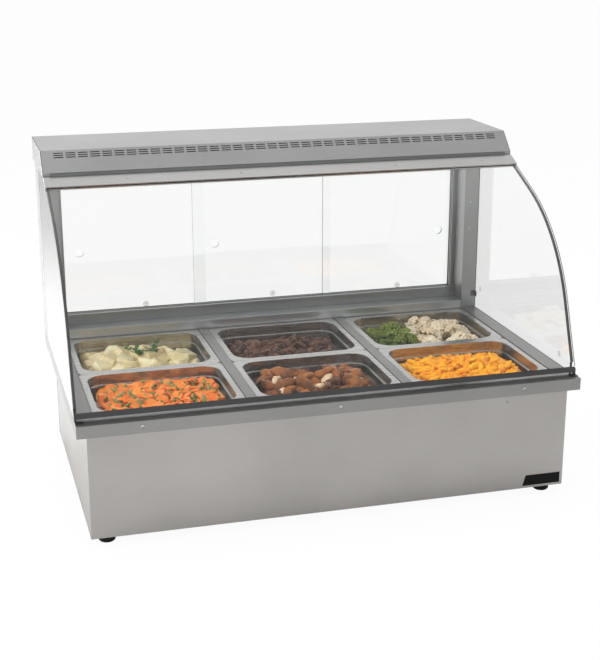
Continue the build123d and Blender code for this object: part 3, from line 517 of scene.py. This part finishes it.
CASE_FIXING_X, CASE_FIXING_Z = 0.39, 0.232
POST_FIXING_X, POST_FIXING_ZS = 0.527, (0.560, 0.490)
SKIRT_FIXING_YS, SKIRT_FIXING_DROP = (-0.22, 0.20), 13 * MM
CASE_HEAD = (2.2 * MM, 0.8 * MM)
POST_HEAD = (3.0 * MM, 1.0 * MM)
SKIRT_HEAD = (3.2 * MM, 0.4 * MM)
body_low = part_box("body_shell")[0]
post_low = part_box("post_right")[0]
deck_low, deck_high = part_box("deck")
bm = bmesh.new()
add_disc_head(bm, Vector((CASE_FIXING_X, body_low[1], CASE_FIXING_Z)), FACE_FRONT, *CASE_HEAD)
for z in POST_FIXING_ZS:
    add_disc_head(bm, Vector((POST_FIXING_X, post_low[1], z)), FACE_FRONT, *POST_HEAD)
for y in SKIRT_FIXING_YS:
    spot = Vector((deck_low[0], y, deck_high[2] - SKIRT_FIXING_DROP))
    add_disc_head(bm, spot, FACE_LEFT, *SKIRT_HEAD)
add_piece("body_fixings", bm, SCREW_AND_PAINTED_SHADE, "root")
print("small fixings added")

# %% [markdown]
# Toughened panes carry a small safety stamp near a corner. Here each is only a plain etched ring
# with a dot, with no letters. A ring is one edge spun round the stamp's centre.

# %% Etched rings on the panes
ETCHING_SCALE = 400
ETCHED_DARK = (0.05, 0.055, 0.055)
ETCHED_PALE = (0.16, 0.17, 0.17)
RING_STEPS = 24
DOT_SHARE = 1.6

etched, etched_tree, etched_shader = new_material("etched_ring", (0.1, 0.11, 0.11), 0.7)
etched_shader.inputs["Alpha"].default_value = 0.9
etched_tree.links.new(
    two_colors(etched_tree, object_noise(etched_tree, ETCHING_SCALE), ETCHED_DARK, ETCHED_PALE),
    etched_shader.inputs["Base Color"],
)


def add_ring(bm, centre, axis, radius, width):
    """A flat ring and its dot, lying square to an axis."""
    turn = Vector((0, 0, 1)).rotation_difference(Vector(axis)).to_matrix().to_4x4()
    place = Matrix.Translation(centre) @ turn
    outer = bm.verts.new(place @ Vector((radius, 0, 0)))
    inner = bm.verts.new(place @ Vector((radius - width, 0, 0)))
    edge = bm.edges.new((outer, inner))
    bmesh.ops.spin(
        bm, geom=[outer, inner, edge], cent=centre, axis=axis, angle=math.tau,
        steps=RING_STEPS, use_merge=True,
    )
    bmesh.ops.create_circle(bm, cap_ends=True, segments=8, radius=width * DOT_SHARE, matrix=place)


STAMP_RADIUS = 6.5 * MM
STAMP_WIDTH = 1.4 * MM
STAMP_PROUD = 0.15 * MM
STAMP_IN = 25 * MM
END_PANE_STAMPS = ((-0.245, 0.305), (0.215, 0.335))
for door in ("left", "middle", "right"):
    low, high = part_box(f"door_{door}")
    bm = bmesh.new()
    spot = Vector(((low[0] + high[0]) / 2 + STAMP_IN, low[1] - STAMP_PROUD, low[2] + STAMP_IN))
    add_ring(bm, spot, (0, -1, 0), STAMP_RADIUS, STAMP_WIDTH)
    add_piece(f"stamp_door_{door}", bm, (etched,), f"door_{door}_pane")
pane_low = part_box("side_glass_right")[0]
bm = bmesh.new()
for y, z in END_PANE_STAMPS:
    add_ring(bm, Vector((pane_low[0] - STAMP_PROUD, y, z)), (-1, 0, 0), STAMP_RADIUS, STAMP_WIDTH)
add_piece("stamp_side_right", bm, (etched,), "root")
print("stamps added")

# %% [markdown]
# Food is heaped from many small pieces, as in a real pan. A few pieces of each kind are shaped once
# from a simple bmesh shape and pushed about by noise, and then stamped many times with different
# turns and sizes. Each stamp writes two values to a colour attribute named "tint", which the
# materials read: a random one, so that no two neighbours have quite the same colour, and how far
# each corner lies from the middle of its piece.


# %% Food helpers
NOISE_FALL, NOISE_STEP, NOISE_SCALES = 0.8, 2.2, 3
SEED_STEPS = (7.3, 3.1, 5.7)


def shaped(make, size, rough, frequency, seed):
    """A template mesh: a shape scaled to a size in metres, roughened by noise on three scales."""
    bm = bmesh.new()
    make(bm)
    bmesh.ops.scale(bm, vec=size, verts=bm.verts)
    offset = Vector([seed * step for step in SEED_STEPS])
    for vert in bm.verts:
        push = noise.fractal(vert.co * frequency + offset, NOISE_FALL, NOISE_STEP, NOISE_SCALES)
        vert.co += vert.co.normalized() * push * rough
    mesh = bpy.data.meshes.new("template")
    bm.to_mesh(mesh)
    bm.free()
    return mesh


def ball(detail):
    """Starts a template from an icosphere of radius 1."""
    return lambda bm: bmesh.ops.create_icosphere(bm, subdivisions=detail, radius=1)


def slice_shape(bm):
    """A round slice with softened rims."""
    bmesh.ops.create_cone(bm, cap_ends=True, segments=16, radius1=1, radius2=0.94, depth=2)
    rims = [edge for edge in bm.edges if edge.calc_face_angle(0) > 1]
    bmesh.ops.bevel(bm, geom=rims, offset=0.12, segments=2, profile=0.5, affect="EDGES", material=-1)


def chunk_shape(bm):
    """A cut chunk: a cube with well rounded edges and a few cuts for the noise to move."""
    bmesh.ops.create_cube(bm, size=2)
    bmesh.ops.bevel(
        bm, geom=bm.edges[:], offset=0.42, segments=2, profile=0.6, affect="EDGES", material=-1
    )
    bmesh.ops.subdivide_edges(bm, edges=bm.edges, cuts=1, use_grid_fill=True)


def stamp(bm, template, place, tint):
    """Adds a template to a heap, with its tint and each corner's distance from its middle."""
    layer = bm.loops.layers.float_color.get("tint") or bm.loops.layers.float_color.new("tint")
    before = len(bm.verts)
    faces_before = len(bm.faces)
    bm.from_mesh(template)
    bm.verts.ensure_lookup_table()
    bm.faces.ensure_lookup_table()
    new_verts = bm.verts[before:]
    reach = max(vert.co.length for vert in new_verts)
    local = {vert: vert.co.length / reach for vert in new_verts}
    for face in bm.faces[faces_before:]:
        for loop in face.loops:
            loop[layer] = (tint, local[loop.vert], 0, 1)
    bmesh.ops.transform(bm, matrix=place, verts=new_verts)


DOME_TOP, DOME_FALL = 1.06, 0.16


def dome(u, v):
    """How high a heap stands at u, v, each from -1 to 1 across the pan."""
    return DOME_TOP - DOME_FALL * (u ** 4 + v ** 4)


def random_turn(rng, lean):
    """A turn about Z and a lean of up to some angle about X and Y."""
    spin = Matrix.Rotation(rng.uniform(0, math.tau), 4, "Z")
    lean_x = Matrix.Rotation(rng.uniform(-lean, lean), 4, "X")
    lean_y = Matrix.Rotation(rng.uniform(-lean, lean), 4, "Y")
    return spin @ (lean_x @ lean_y)


SIZES = (0.85, 1.2)
SETTLING = (-4, 3)
WHOLE_PAN = (-1, 1, -1, 1)


def heap(bm, dish, templates, count, rng, lean, margin, lift=0.0, area=WHOLE_PAN):
    """Scatters templates over a dish's mound, evenly spread with a jitter."""
    low, high = (Vector(corner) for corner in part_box(dish))
    columns = max(1, round(math.sqrt(count * (high.x - low.x) / (high.y - low.y))))
    rows = max(1, math.ceil(count / columns))
    for i in range(count):
        step_u = (i % columns + rng.uniform(0.1, 0.9)) / columns
        step_v = (i // columns + rng.uniform(0.1, 0.9)) / rows
        u = area[0] + (area[1] - area[0]) * step_u
        v = area[2] + (area[3] - area[2]) * step_v
        x = (low.x + high.x) / 2 + u * ((high.x - low.x) / 2 - margin)
        y = (low.y + high.y) / 2 + v * ((high.y - low.y) / 2 - margin)
        z = low.z + (high.z - low.z) * dome(u, v) + lift + rng.uniform(*SETTLING) * MM
        place = Matrix.Translation((x, y, z)) @ random_turn(rng, lean)
        place = place @ Matrix.Scale(rng.uniform(*SIZES), 4)
        stamp(bm, rng.choice(templates), place, rng.random())


BED_CUTS = 24
BED_WAVES = 2.5 * MM
BED_RIPPLES = (9, 7)
BED_FOOT, BED_WIDENING = 0.90, 0.06
BED_CORNER = 0.1


def add_bed(dish, material, depth=0.86):
    """The lower food that fills the pan under the loose pieces, as one bumpy solid."""
    low, high = (Vector(corner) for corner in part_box(dish))
    middle = (low + high) / 2
    half = (high - low) / 2
    bm = bmesh.new()
    bmesh.ops.create_cube(bm, size=2)
    bmesh.ops.subdivide_edges(bm, edges=bm.edges, cuts=BED_CUTS, use_grid_fill=True)
    for vert in bm.verts:
        u, v, w = vert.co
        corner = 1 - BED_CORNER * (u * v) ** 4
        level = (w + 1) / 2
        shrink = (BED_FOOT + BED_WIDENING * level) * corner
        height = (high.z - low.z) * depth * dome(u, v) * level
        spot = Vector((u * BED_RIPPLES[0], v * BED_RIPPLES[1], w))
        ripple = BED_WAVES * noise.noise(spot) * level
        x = middle.x + u * half.x * shrink
        y = middle.y + v * half.y * shrink
        vert.co = Vector((x, y, low.z + height + ripple))
    bmesh.ops.recalc_face_normals(bm, faces=bm.faces)
    piece = add_piece(dish + "_bed", bm, (material,), body_of_node(dish), 60)
    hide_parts(dish)
    return piece


def add_heap(name, dish, bm, material, smooth_angle=50):
    """Turns a heap into a piece that rides with its pan and stands for the dish's solid."""
    piece = add_piece(name, bm, (material,), body_of_node(dish), smooth_angle)
    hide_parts(dish)
    print(name, len(piece.data.polygons), "faces")
    return piece


# %% [markdown]
# Cooked food is moist: light sinks in a little and the surface has a soft gloss. Each food material
# blends two colours by the tint of the piece and by a noise, with a little subsurface light and a
# bump. An inner colour, where there is one, shows towards the middle of each piece: the paler heart
# of a carrot slice, and painted shade in the creases of the florets. A fleck colour shows where a
# finer noise is highest.


# %% Food materials
FOOD_SHEEN = 0.3
FOOD_SOFTNESS = 0.12
FOOD_BUMP = 0.4
FOOD_BUMP_HEIGHT = 1.2 * MM
FOOD_DEPTHS = (6 * MM, 3 * MM, 1.5 * MM)
FOOD_GLOSSIER, FOOD_DULLER = 0.12, 0.15
TINT_SHARE = 0.45
BLEND_RANGE = (0.45, 0.95)
CORE_AND_SHADE_RANGE = (0.45, 0.8)
FLECK_RANGE = (0.66, 0.7)
FLECK_FINENESS = 7


def food_material(name, dark, pale, fleck=None, roughness=0.35, noise_scale=90, core_and_crease_shade=None):
    """Moist food that varies from piece to piece and over each piece."""
    material, tree, shader = new_material(name, pale, roughness)
    tint = tree.nodes.new("ShaderNodeAttribute")
    tint.attribute_name = "tint"
    split = tree.nodes.new("ShaderNodeSeparateColor")
    tree.links.new(tint.outputs["Color"], split.inputs["Color"])
    mottle = object_noise(tree, noise_scale, detail=5)
    blend = tree.nodes.new("ShaderNodeMath")
    blend.operation = "MULTIPLY_ADD"
    blend.inputs[1].default_value = TINT_SHARE
    tree.links.new(split.outputs["Red"], blend.inputs[0])
    tree.links.new(mottle, blend.inputs[2])
    color = two_colors(tree, blend.outputs["Value"], dark, pale, *BLEND_RANGE)
    # Towards the middle of each piece the inner colour shows: a real paler heart on carrots, painted
    # crease shade on the florets.
    if core_and_crease_shade:
        outward = spread_between(tree, split.outputs["Green"], *CORE_AND_SHADE_RANGE)
        inner = tree.nodes.new("ShaderNodeMix")
        inner.data_type = "RGBA"
        tree.links.new(outward, inner.inputs["Factor"])
        inner.inputs["A"].default_value = (*core_and_crease_shade, 1)
        tree.links.new(color, inner.inputs["B"])
        color = inner.outputs["Result"]
    if fleck:
        fine = object_noise(tree, noise_scale * FLECK_FINENESS, detail=2)
        spots = tree.nodes.new("ShaderNodeMix")
        spots.data_type = "RGBA"
        tree.links.new(spread_between(tree, fine, *FLECK_RANGE), spots.inputs["Factor"])
        tree.links.new(color, spots.inputs["A"])
        spots.inputs["B"].default_value = (*fleck, 1)
        color = spots.outputs["Result"]
    tree.links.new(color, shader.inputs["Base Color"])
    shader.inputs["Specular IOR Level"].default_value = FOOD_SHEEN
    shader.inputs["Subsurface Weight"].default_value = FOOD_SOFTNESS
    shader.inputs["Subsurface Radius"].default_value = FOOD_DEPTHS
    wetness = spread(tree, mottle, roughness - FOOD_GLOSSIER, roughness + FOOD_DULLER)
    tree.links.new(wetness, shader.inputs["Roughness"])
    add_bump(tree, shader, mottle, FOOD_BUMP, FOOD_BUMP_HEIGHT)
    return material


carrot_orange = food_material(
    "carrot_orange", (0.66, 0.12, 0.012), (0.86, 0.26, 0.035),
    core_and_crease_shade=(0.88, 0.38, 0.08),
)
bean_green = food_material("bean_green", (0.11, 0.12, 0.025), (0.28, 0.29, 0.1), roughness=0.45)
pumpkin_gold = food_material(
    "pumpkin_gold", (0.84, 0.28, 0.002), (0.94, 0.46, 0.004),
    noise_scale=60,
)
potato_cream = food_material(
    "potato_cream", (0.7, 0.55, 0.27), (0.86, 0.77, 0.5),
    fleck=(0.2, 0.17, 0.08), roughness=0.5,
)
beef_brown = food_material("beef_brown", (0.03, 0.009, 0.005), (0.2, 0.085, 0.045), roughness=0.32)
chicken_glaze = food_material(
    "chicken_glaze", (0.012, 0.003, 0.001), (0.32, 0.105, 0.022),
    noise_scale=34, roughness=0.26,
)
chicken_meat = food_material("chicken_meat", (0.58, 0.36, 0.2), (0.84, 0.66, 0.46), roughness=0.45)
# The inner colours of broccoli and cauliflower are painted shade, darker towards the middle of each
# floret, between and under its knobs.
broccoli_green = food_material(
    "broccoli_green", (0.06, 0.1, 0.012), (0.26, 0.33, 0.06),
    noise_scale=260, roughness=0.5, core_and_crease_shade=(0.012, 0.02, 0.004),
)
cauliflower_cream = food_material(
    "cauliflower_cream", (0.87, 0.72, 0.5), (0.96, 0.87, 0.68),
    noise_scale=90, roughness=0.55, core_and_crease_shade=(0.55, 0.4, 0.23),
)
parsley_green = food_material("parsley_green", (0.02, 0.07, 0.01), (0.07, 0.19, 0.03), roughness=0.5)
print("food materials", len(bpy.data.materials))

# %% [markdown]
# Carrots and beans: flat orange slices lie at all angles with short green bean pieces between them.

# %% Carrots and beans
rng = random.Random(11)
SLICE_STRETCHES = (1, 1.2, 1.5)
slices = [
    shaped(slice_shape, (12 * MM * stretch, 12 * MM, 2.8 * MM), rough=0.8 * MM, frequency=120, seed=seed)
    for seed, stretch in enumerate(SLICE_STRETCHES)
]
beans = [
    shaped(ball(2), (4.4 * MM, 4.4 * MM, 12 * MM), rough=1.2 * MM, frequency=140, seed=n)
    for n in range(3)
]
bm = bmesh.new()
heap(bm, "carrots_and_beans", slices, 130, rng, lean=0.8, margin=15 * MM, lift=-3 * MM)
heap(bm, "carrots_and_beans", slices, 70, rng, lean=0.6, margin=24 * MM, lift=3 * MM)
add_heap("carrot_slices", "carrots_and_beans", bm, carrot_orange)
bm = bmesh.new()
heap(bm, "carrots_and_beans", beans, 85, rng, lean=1.2, margin=16 * MM, lift=3 * MM)
add_heap("bean_pieces", "carrots_and_beans", bm, bean_green)
add_bed("carrots_and_beans", carrot_orange)

# %% [markdown]
# Pumpkin: soft, bright, ragged shreds, so the template is a long flat lump roughened by noise.

# %% Pumpkin
rng = random.Random(23)
shreds = [
    shaped(ball(2), (19 * MM, 7 * MM, 4.5 * MM), rough=2.6 * MM, frequency=90, seed=n)
    for n in range(5)
]
bm = bmesh.new()
heap(bm, "pumpkin", shreds, 200, rng, lean=0.5, margin=20 * MM, lift=-1 * MM)
heap(bm, "pumpkin", shreds, 110, rng, lean=0.6, margin=30 * MM, lift=4 * MM)
heap(bm, "pumpkin", shreds, 40, rng, lean=0.7, margin=60 * MM, lift=9 * MM)
add_heap("pumpkin_shreds", "pumpkin", bm, pumpkin_gold)
add_bed("pumpkin", pumpkin_gold)

# %% [markdown]
# Potatoes: large cut chunks with pepper specks, piled higher at the middle, with parsley on top.

# %% Potatoes
rng = random.Random(37)
chunks = [
    shaped(chunk_shape, (21 * MM, 16 * MM, 12 * MM), rough=3 * MM, frequency=60, seed=n)
    for n in range(5)
]
bm = bmesh.new()
heap(bm, "potatoes", chunks, 40, rng, lean=0.5, margin=22 * MM, lift=1 * MM)
heap(bm, "potatoes", chunks, 18, rng, lean=0.6, margin=40 * MM, lift=14 * MM)
add_heap("potato_chunks", "potatoes", bm, potato_cream)
add_bed("potatoes", potato_cream)


# %% [markdown]
# Parsley: each leaf is a small star of seven lobes. A circle gets every other point drawn in, and
# the leaves lie along thin stems that spread from one place on top of the potatoes.


# %% Parsley
def leaf_shape(bm):
    """A small lobed leaf with a little thickness."""
    made = bmesh.ops.create_circle(bm, cap_ends=True, segments=14, radius=1)
    for index, vert in enumerate(made["verts"]):
        if index % 2:
            vert.co *= 0.5
    bmesh.ops.solidify(bm, geom=bm.faces[:], thickness=0.1)


SPRIGS = 9
LEAVES = 12
SPRIG_TURN = 2.4
SPRIG_LENGTHS = (24, 48)
LEAF_JITTER = 5
HEART_OFFSET = (2 * MM, -25 * MM, 24 * MM)
rng = random.Random(41)
leaf = [
    shaped(leaf_shape, (6.5 * MM, 5 * MM, 4 * MM), rough=1.2 * MM, frequency=200, seed=n)
    for n in range(3)
]
stem = shaped(ball(1), (0.7 * MM, 0.7 * MM, 14 * MM), rough=0.1 * MM, frequency=80, seed=1)
dish_low, dish_high = (Vector(corner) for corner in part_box("potatoes"))
dish_middle = (dish_low + dish_high) / 2
heart = Vector((dish_middle.x, dish_middle.y, dish_high.z)) + Vector(HEART_OFFSET)
bm = bmesh.new()
for sprig in range(SPRIGS):
    turn = sprig * SPRIG_TURN
    way = Vector((math.cos(turn), math.sin(turn) * 0.6, 0.35 + 0.25 * (sprig % 3)))
    reach = rng.uniform(*SPRIG_LENGTHS) * MM
    for step in range(LEAVES):
        along = heart + way * reach * (step + 1) / LEAVES
        jitter = Vector([rng.uniform(-LEAF_JITTER, LEAF_JITTER) * MM for _ in range(3)])
        place = Matrix.Translation(along + jitter) @ random_turn(rng, 0.9)
        stamp(bm, rng.choice(leaf), place, rng.random())
    lean = Vector((0, 0, 1)).rotation_difference(way).to_matrix().to_4x4()
    stamp(bm, stem, Matrix.Translation(heart + way * reach * 0.5) @ lean, 0.5)
add_heap("parsley_sprig", "potatoes", bm, parsley_green)

# %% [markdown]
# Beef: dark, glazed strips in a shallow layer, so a similar long lump is used, with more noise.

# %% Beef
rng = random.Random(53)
strips = [
    shaped(ball(2), (19 * MM, 8 * MM, 5 * MM), rough=3.6 * MM, frequency=110, seed=n)
    for n in range(5)
]
bm = bmesh.new()
heap(bm, "beef_stew", strips, 150, rng, lean=0.7, margin=15 * MM, lift=-2 * MM)
heap(bm, "beef_stew", strips, 55, rng, lean=0.8, margin=30 * MM, lift=4 * MM)
add_heap("beef_strips", "beef_stew", bm, beef_brown)
add_bed("beef_stew", beef_brown)

# %% [markdown]
# Chicken: whole joints with a dark glaze, rounder and much larger, and a few pale pieces of meat.

# %% Chicken
rng = random.Random(67)
joints = [
    shaped(ball(3), (32 * MM, 15 * MM, 11 * MM), rough=8 * MM, frequency=48, seed=n)
    for n in range(6)
]
meat = [
    shaped(ball(3), (17 * MM, 9 * MM, 7 * MM), rough=4 * MM, frequency=90, seed=n)
    for n in range(3)
]
bm = bmesh.new()
heap(bm, "roast_chicken", joints, 44, rng, lean=0.5, margin=26 * MM, lift=-2 * MM)
heap(bm, "roast_chicken", joints, 16, rng, lean=0.6, margin=48 * MM, lift=9 * MM)
add_heap("chicken_joints", "roast_chicken", bm, chicken_glaze)
bm = bmesh.new()
heap(bm, "roast_chicken", meat, 10, rng, lean=0.5, margin=45 * MM, lift=9 * MM)
add_heap("chicken_pieces", "roast_chicken", bm, chicken_meat)
add_bed("roast_chicken", chicken_glaze)


# %% [markdown]
# Florets: a stalk with a cap of small knobs, spread evenly over a dome by the golden angle. Green
# ones fill the left third of the pan and cream ones the rest.


# %% Broccoli and cauliflower
GOLDEN_ANGLE = 2.39996


def floret(knobs, spread_radius, knob_radius, seed):
    """A template floret: knobs over a dome, on a short stalk."""
    bm = bmesh.new()
    knob = shaped(ball(1), (knob_radius,) * 3, rough=knob_radius * 0.25, frequency=260, seed=seed)
    for index in range(knobs):
        height = 1 - 0.95 * index / knobs
        ring = math.sqrt(1 - height * height)
        angle = index * GOLDEN_ANGLE
        spot = Vector((ring * math.cos(angle), ring * math.sin(angle), height * 0.75)) * spread_radius
        stamp(bm, knob, Matrix.Translation(spot), 0.5)
    stalk = Matrix.Translation((0, 0, -spread_radius * 0.4))
    bmesh.ops.create_cone(
        bm, cap_ends=True, segments=10, radius1=spread_radius * 0.3, radius2=spread_radius * 0.6,
        depth=spread_radius * 1.4, matrix=stalk,
    )
    mesh = bpy.data.meshes.new("floret")
    bm.to_mesh(mesh)
    bm.free()
    return mesh


rng = random.Random(71)
green = [floret(26, 14 * MM, 4.2 * MM, n) for n in range(3)]
cream = [floret(20, 15 * MM, 5.4 * MM, n + 5) for n in range(3)]
dish = "broccoli_and_cauliflower"
bm = bmesh.new()
heap(bm, dish, green, 26, rng, lean=0.7, margin=22 * MM, lift=-5 * MM, area=(-1, -0.25, -1, 1))
heap(bm, dish, green, 6, rng, lean=0.7, margin=40 * MM, lift=8 * MM, area=(-0.9, -0.4, -0.5, 0.9))
add_heap("broccoli_florets", dish, bm, broccoli_green)
bm = bmesh.new()
heap(bm, dish, cream, 24, rng, lean=0.7, margin=22 * MM, lift=-3 * MM, area=(-0.15, 1, -1, 1))
heap(bm, dish, cream, 10, rng, lean=0.7, margin=36 * MM, lift=12 * MM, area=(0, 0.95, -0.6, 1))
add_heap("cauliflower_florets", dish, bm, cauliflower_cream)
add_bed(dish, cauliflower_cream, depth=0.7)

# %% [markdown]
# The bar stands on a plain white floor against white. A light path node tells what kind of ray is
# looking. For the camera and for what is seen through glass the floor is mostly a white glow, so it
# looks white but keeps a faint shadow. For all other rays it is a matt white board.


# %% Floor
FLOOR_GLOW = 0.95
FLOOR_REACH = 40
FLOOR_WHITE = (0.86, 0.86, 0.86)


def either(tree, first, second):
    """1 where either of two ray tests is 1."""
    largest = tree.nodes.new("ShaderNodeMath")
    largest.operation = "MAXIMUM"
    tree.links.new(first, largest.inputs[0])
    tree.links.new(second, largest.inputs[1])
    return largest.outputs["Value"]


def mix_shaders(tree, fac, first, second):
    """A mix of two shaders by a linked factor."""
    mix = tree.nodes.new("ShaderNodeMixShader")
    tree.links.new(fac, mix.inputs["Fac"])
    tree.links.new(first, mix.inputs[1])
    tree.links.new(second, mix.inputs[2])
    return mix.outputs["Shader"]


floor_material, floor_tree, floor_shader = new_material("floor_white", FLOOR_WHITE, 0.8)
rays = floor_tree.nodes.new("ShaderNodeLightPath").outputs
share = floor_tree.nodes.new("ShaderNodeMath")
share.operation = "MULTIPLY"
share.inputs[1].default_value = FLOOR_GLOW
looked_at = either(floor_tree, rays["Is Camera Ray"], rays["Is Transmission Ray"])
floor_tree.links.new(looked_at, share.inputs[0])
glow = floor_tree.nodes.new("ShaderNodeEmission")
floor_look = mix_shaders(
    floor_tree, share.outputs["Value"], floor_shader.outputs["BSDF"], glow.outputs["Emission"]
)
floor_tree.links.new(floor_look, floor_tree.nodes["Material Output"].inputs["Surface"])

bm = bmesh.new()
bmesh.ops.create_grid(bm, x_segments=1, y_segments=1, size=FLOOR_REACH)
floor_mesh = bpy.data.meshes.new("floor")
bm.to_mesh(floor_mesh)
bm.free()
floor_mesh.materials.append(floor_material)
floor = bpy.data.objects.new("floor", floor_mesh)
bpy.context.scene.collection.objects.link(floor)
print("floor ready")

# %% [markdown]
# Steel looks like what it mirrors, so the surroundings need a light side and a dark side, as in a
# studio. Mirror rays see a world that goes from dim in front of the bar, where the room is dark, to
# bright behind and above it. The camera and glass see plain white, and diffuse light is even.

# %% Surroundings
DIFFUSE_LIGHT = 0.74
DIM_SIDE = 0.05
BRIGHT_SIDE = 1.0
BRIGHT_WAY = (-0.25, 0.65, 0.45)
RAMP = {"From Min": -0.66, "From Max": 0.7, "To Min": DIM_SIDE, "To Max": BRIGHT_SIDE}

world = bpy.data.worlds.new("studio")
bpy.context.scene.world = world
world.use_nodes = True
sky = world.node_tree
way = sky.nodes.new("ShaderNodeVectorMath")
way.operation = "DOT_PRODUCT"
way.inputs[1].default_value = BRIGHT_WAY
sky.links.new(sky.nodes.new("ShaderNodeTexCoord").outputs["Generated"], way.inputs[0])
ramp = sky.nodes.new("ShaderNodeMapRange")
for name, value in RAMP.items():
    ramp.inputs[name].default_value = value
sky.links.new(way.outputs["Value"], ramp.inputs["Value"])


def white_sky(strength):
    """A white background shader of some strength."""
    background = sky.nodes.new("ShaderNodeBackground")
    background.inputs["Color"].default_value = (1, 1, 1, 1)
    background.inputs["Strength"].default_value = strength
    return background


mirrored = white_sky(BRIGHT_SIDE)
sky.links.new(ramp.outputs["Result"], mirrored.inputs["Strength"])
rays = sky.nodes.new("ShaderNodeLightPath").outputs
even = white_sky(DIFFUSE_LIGHT)
plain = white_sky(1)
lit = mix_shaders(
    sky, rays["Is Glossy Ray"], even.outputs["Background"], mirrored.outputs["Background"]
)
looked_at = either(sky, rays["Is Camera Ray"], rays["Is Transmission Ray"])
seen = mix_shaders(sky, looked_at, lit, plain.outputs["Background"])
sky.links.new(seen, sky.nodes["World Output"].inputs["Surface"])
print("surroundings ready")

# %% [markdown]
# Two large soft lamps light the food and the plastics: one high on the left and a weaker one above.
# They are hidden from mirror rays, or their square shapes would show in the curved glass. A third
# stands low, behind and to the left, and steel may mirror it, because the left end of the case is
# the lightest face in the photograph.


# %% Lamps
def add_softbox(name, place, target, size, watts, mirrored=False):
    """A square area lamp that faces a target, seen in mirror rays or not."""
    lamp = bpy.data.objects.new(name, bpy.data.lights.new(name, "AREA"))
    lamp.data.size = size
    lamp.data.energy = watts
    lamp.location = place
    lamp.rotation_euler = (Vector(target) - Vector(place)).to_track_quat("-Z", "Y").to_euler()
    lamp.visible_camera = False
    lamp.visible_glossy = mirrored
    lamp.visible_transmission = False
    bpy.context.scene.collection.objects.link(lamp)


MIDDLE = (0, 0, 0.35)
LEFT_END = (-0.55, 0, 0.15)
add_softbox("left_box", (-2.6, -0.6, 1.8), MIDDLE, size=1.6, watts=55)
add_softbox("top_box", (0.4, 0.5, 2.8), MIDDLE, size=1.8, watts=45)
add_softbox("low_left_box", (-2.0, 1.7, 0.4), LEFT_END, size=1.0, watts=32, mirrored=True)
print("lamps ready")
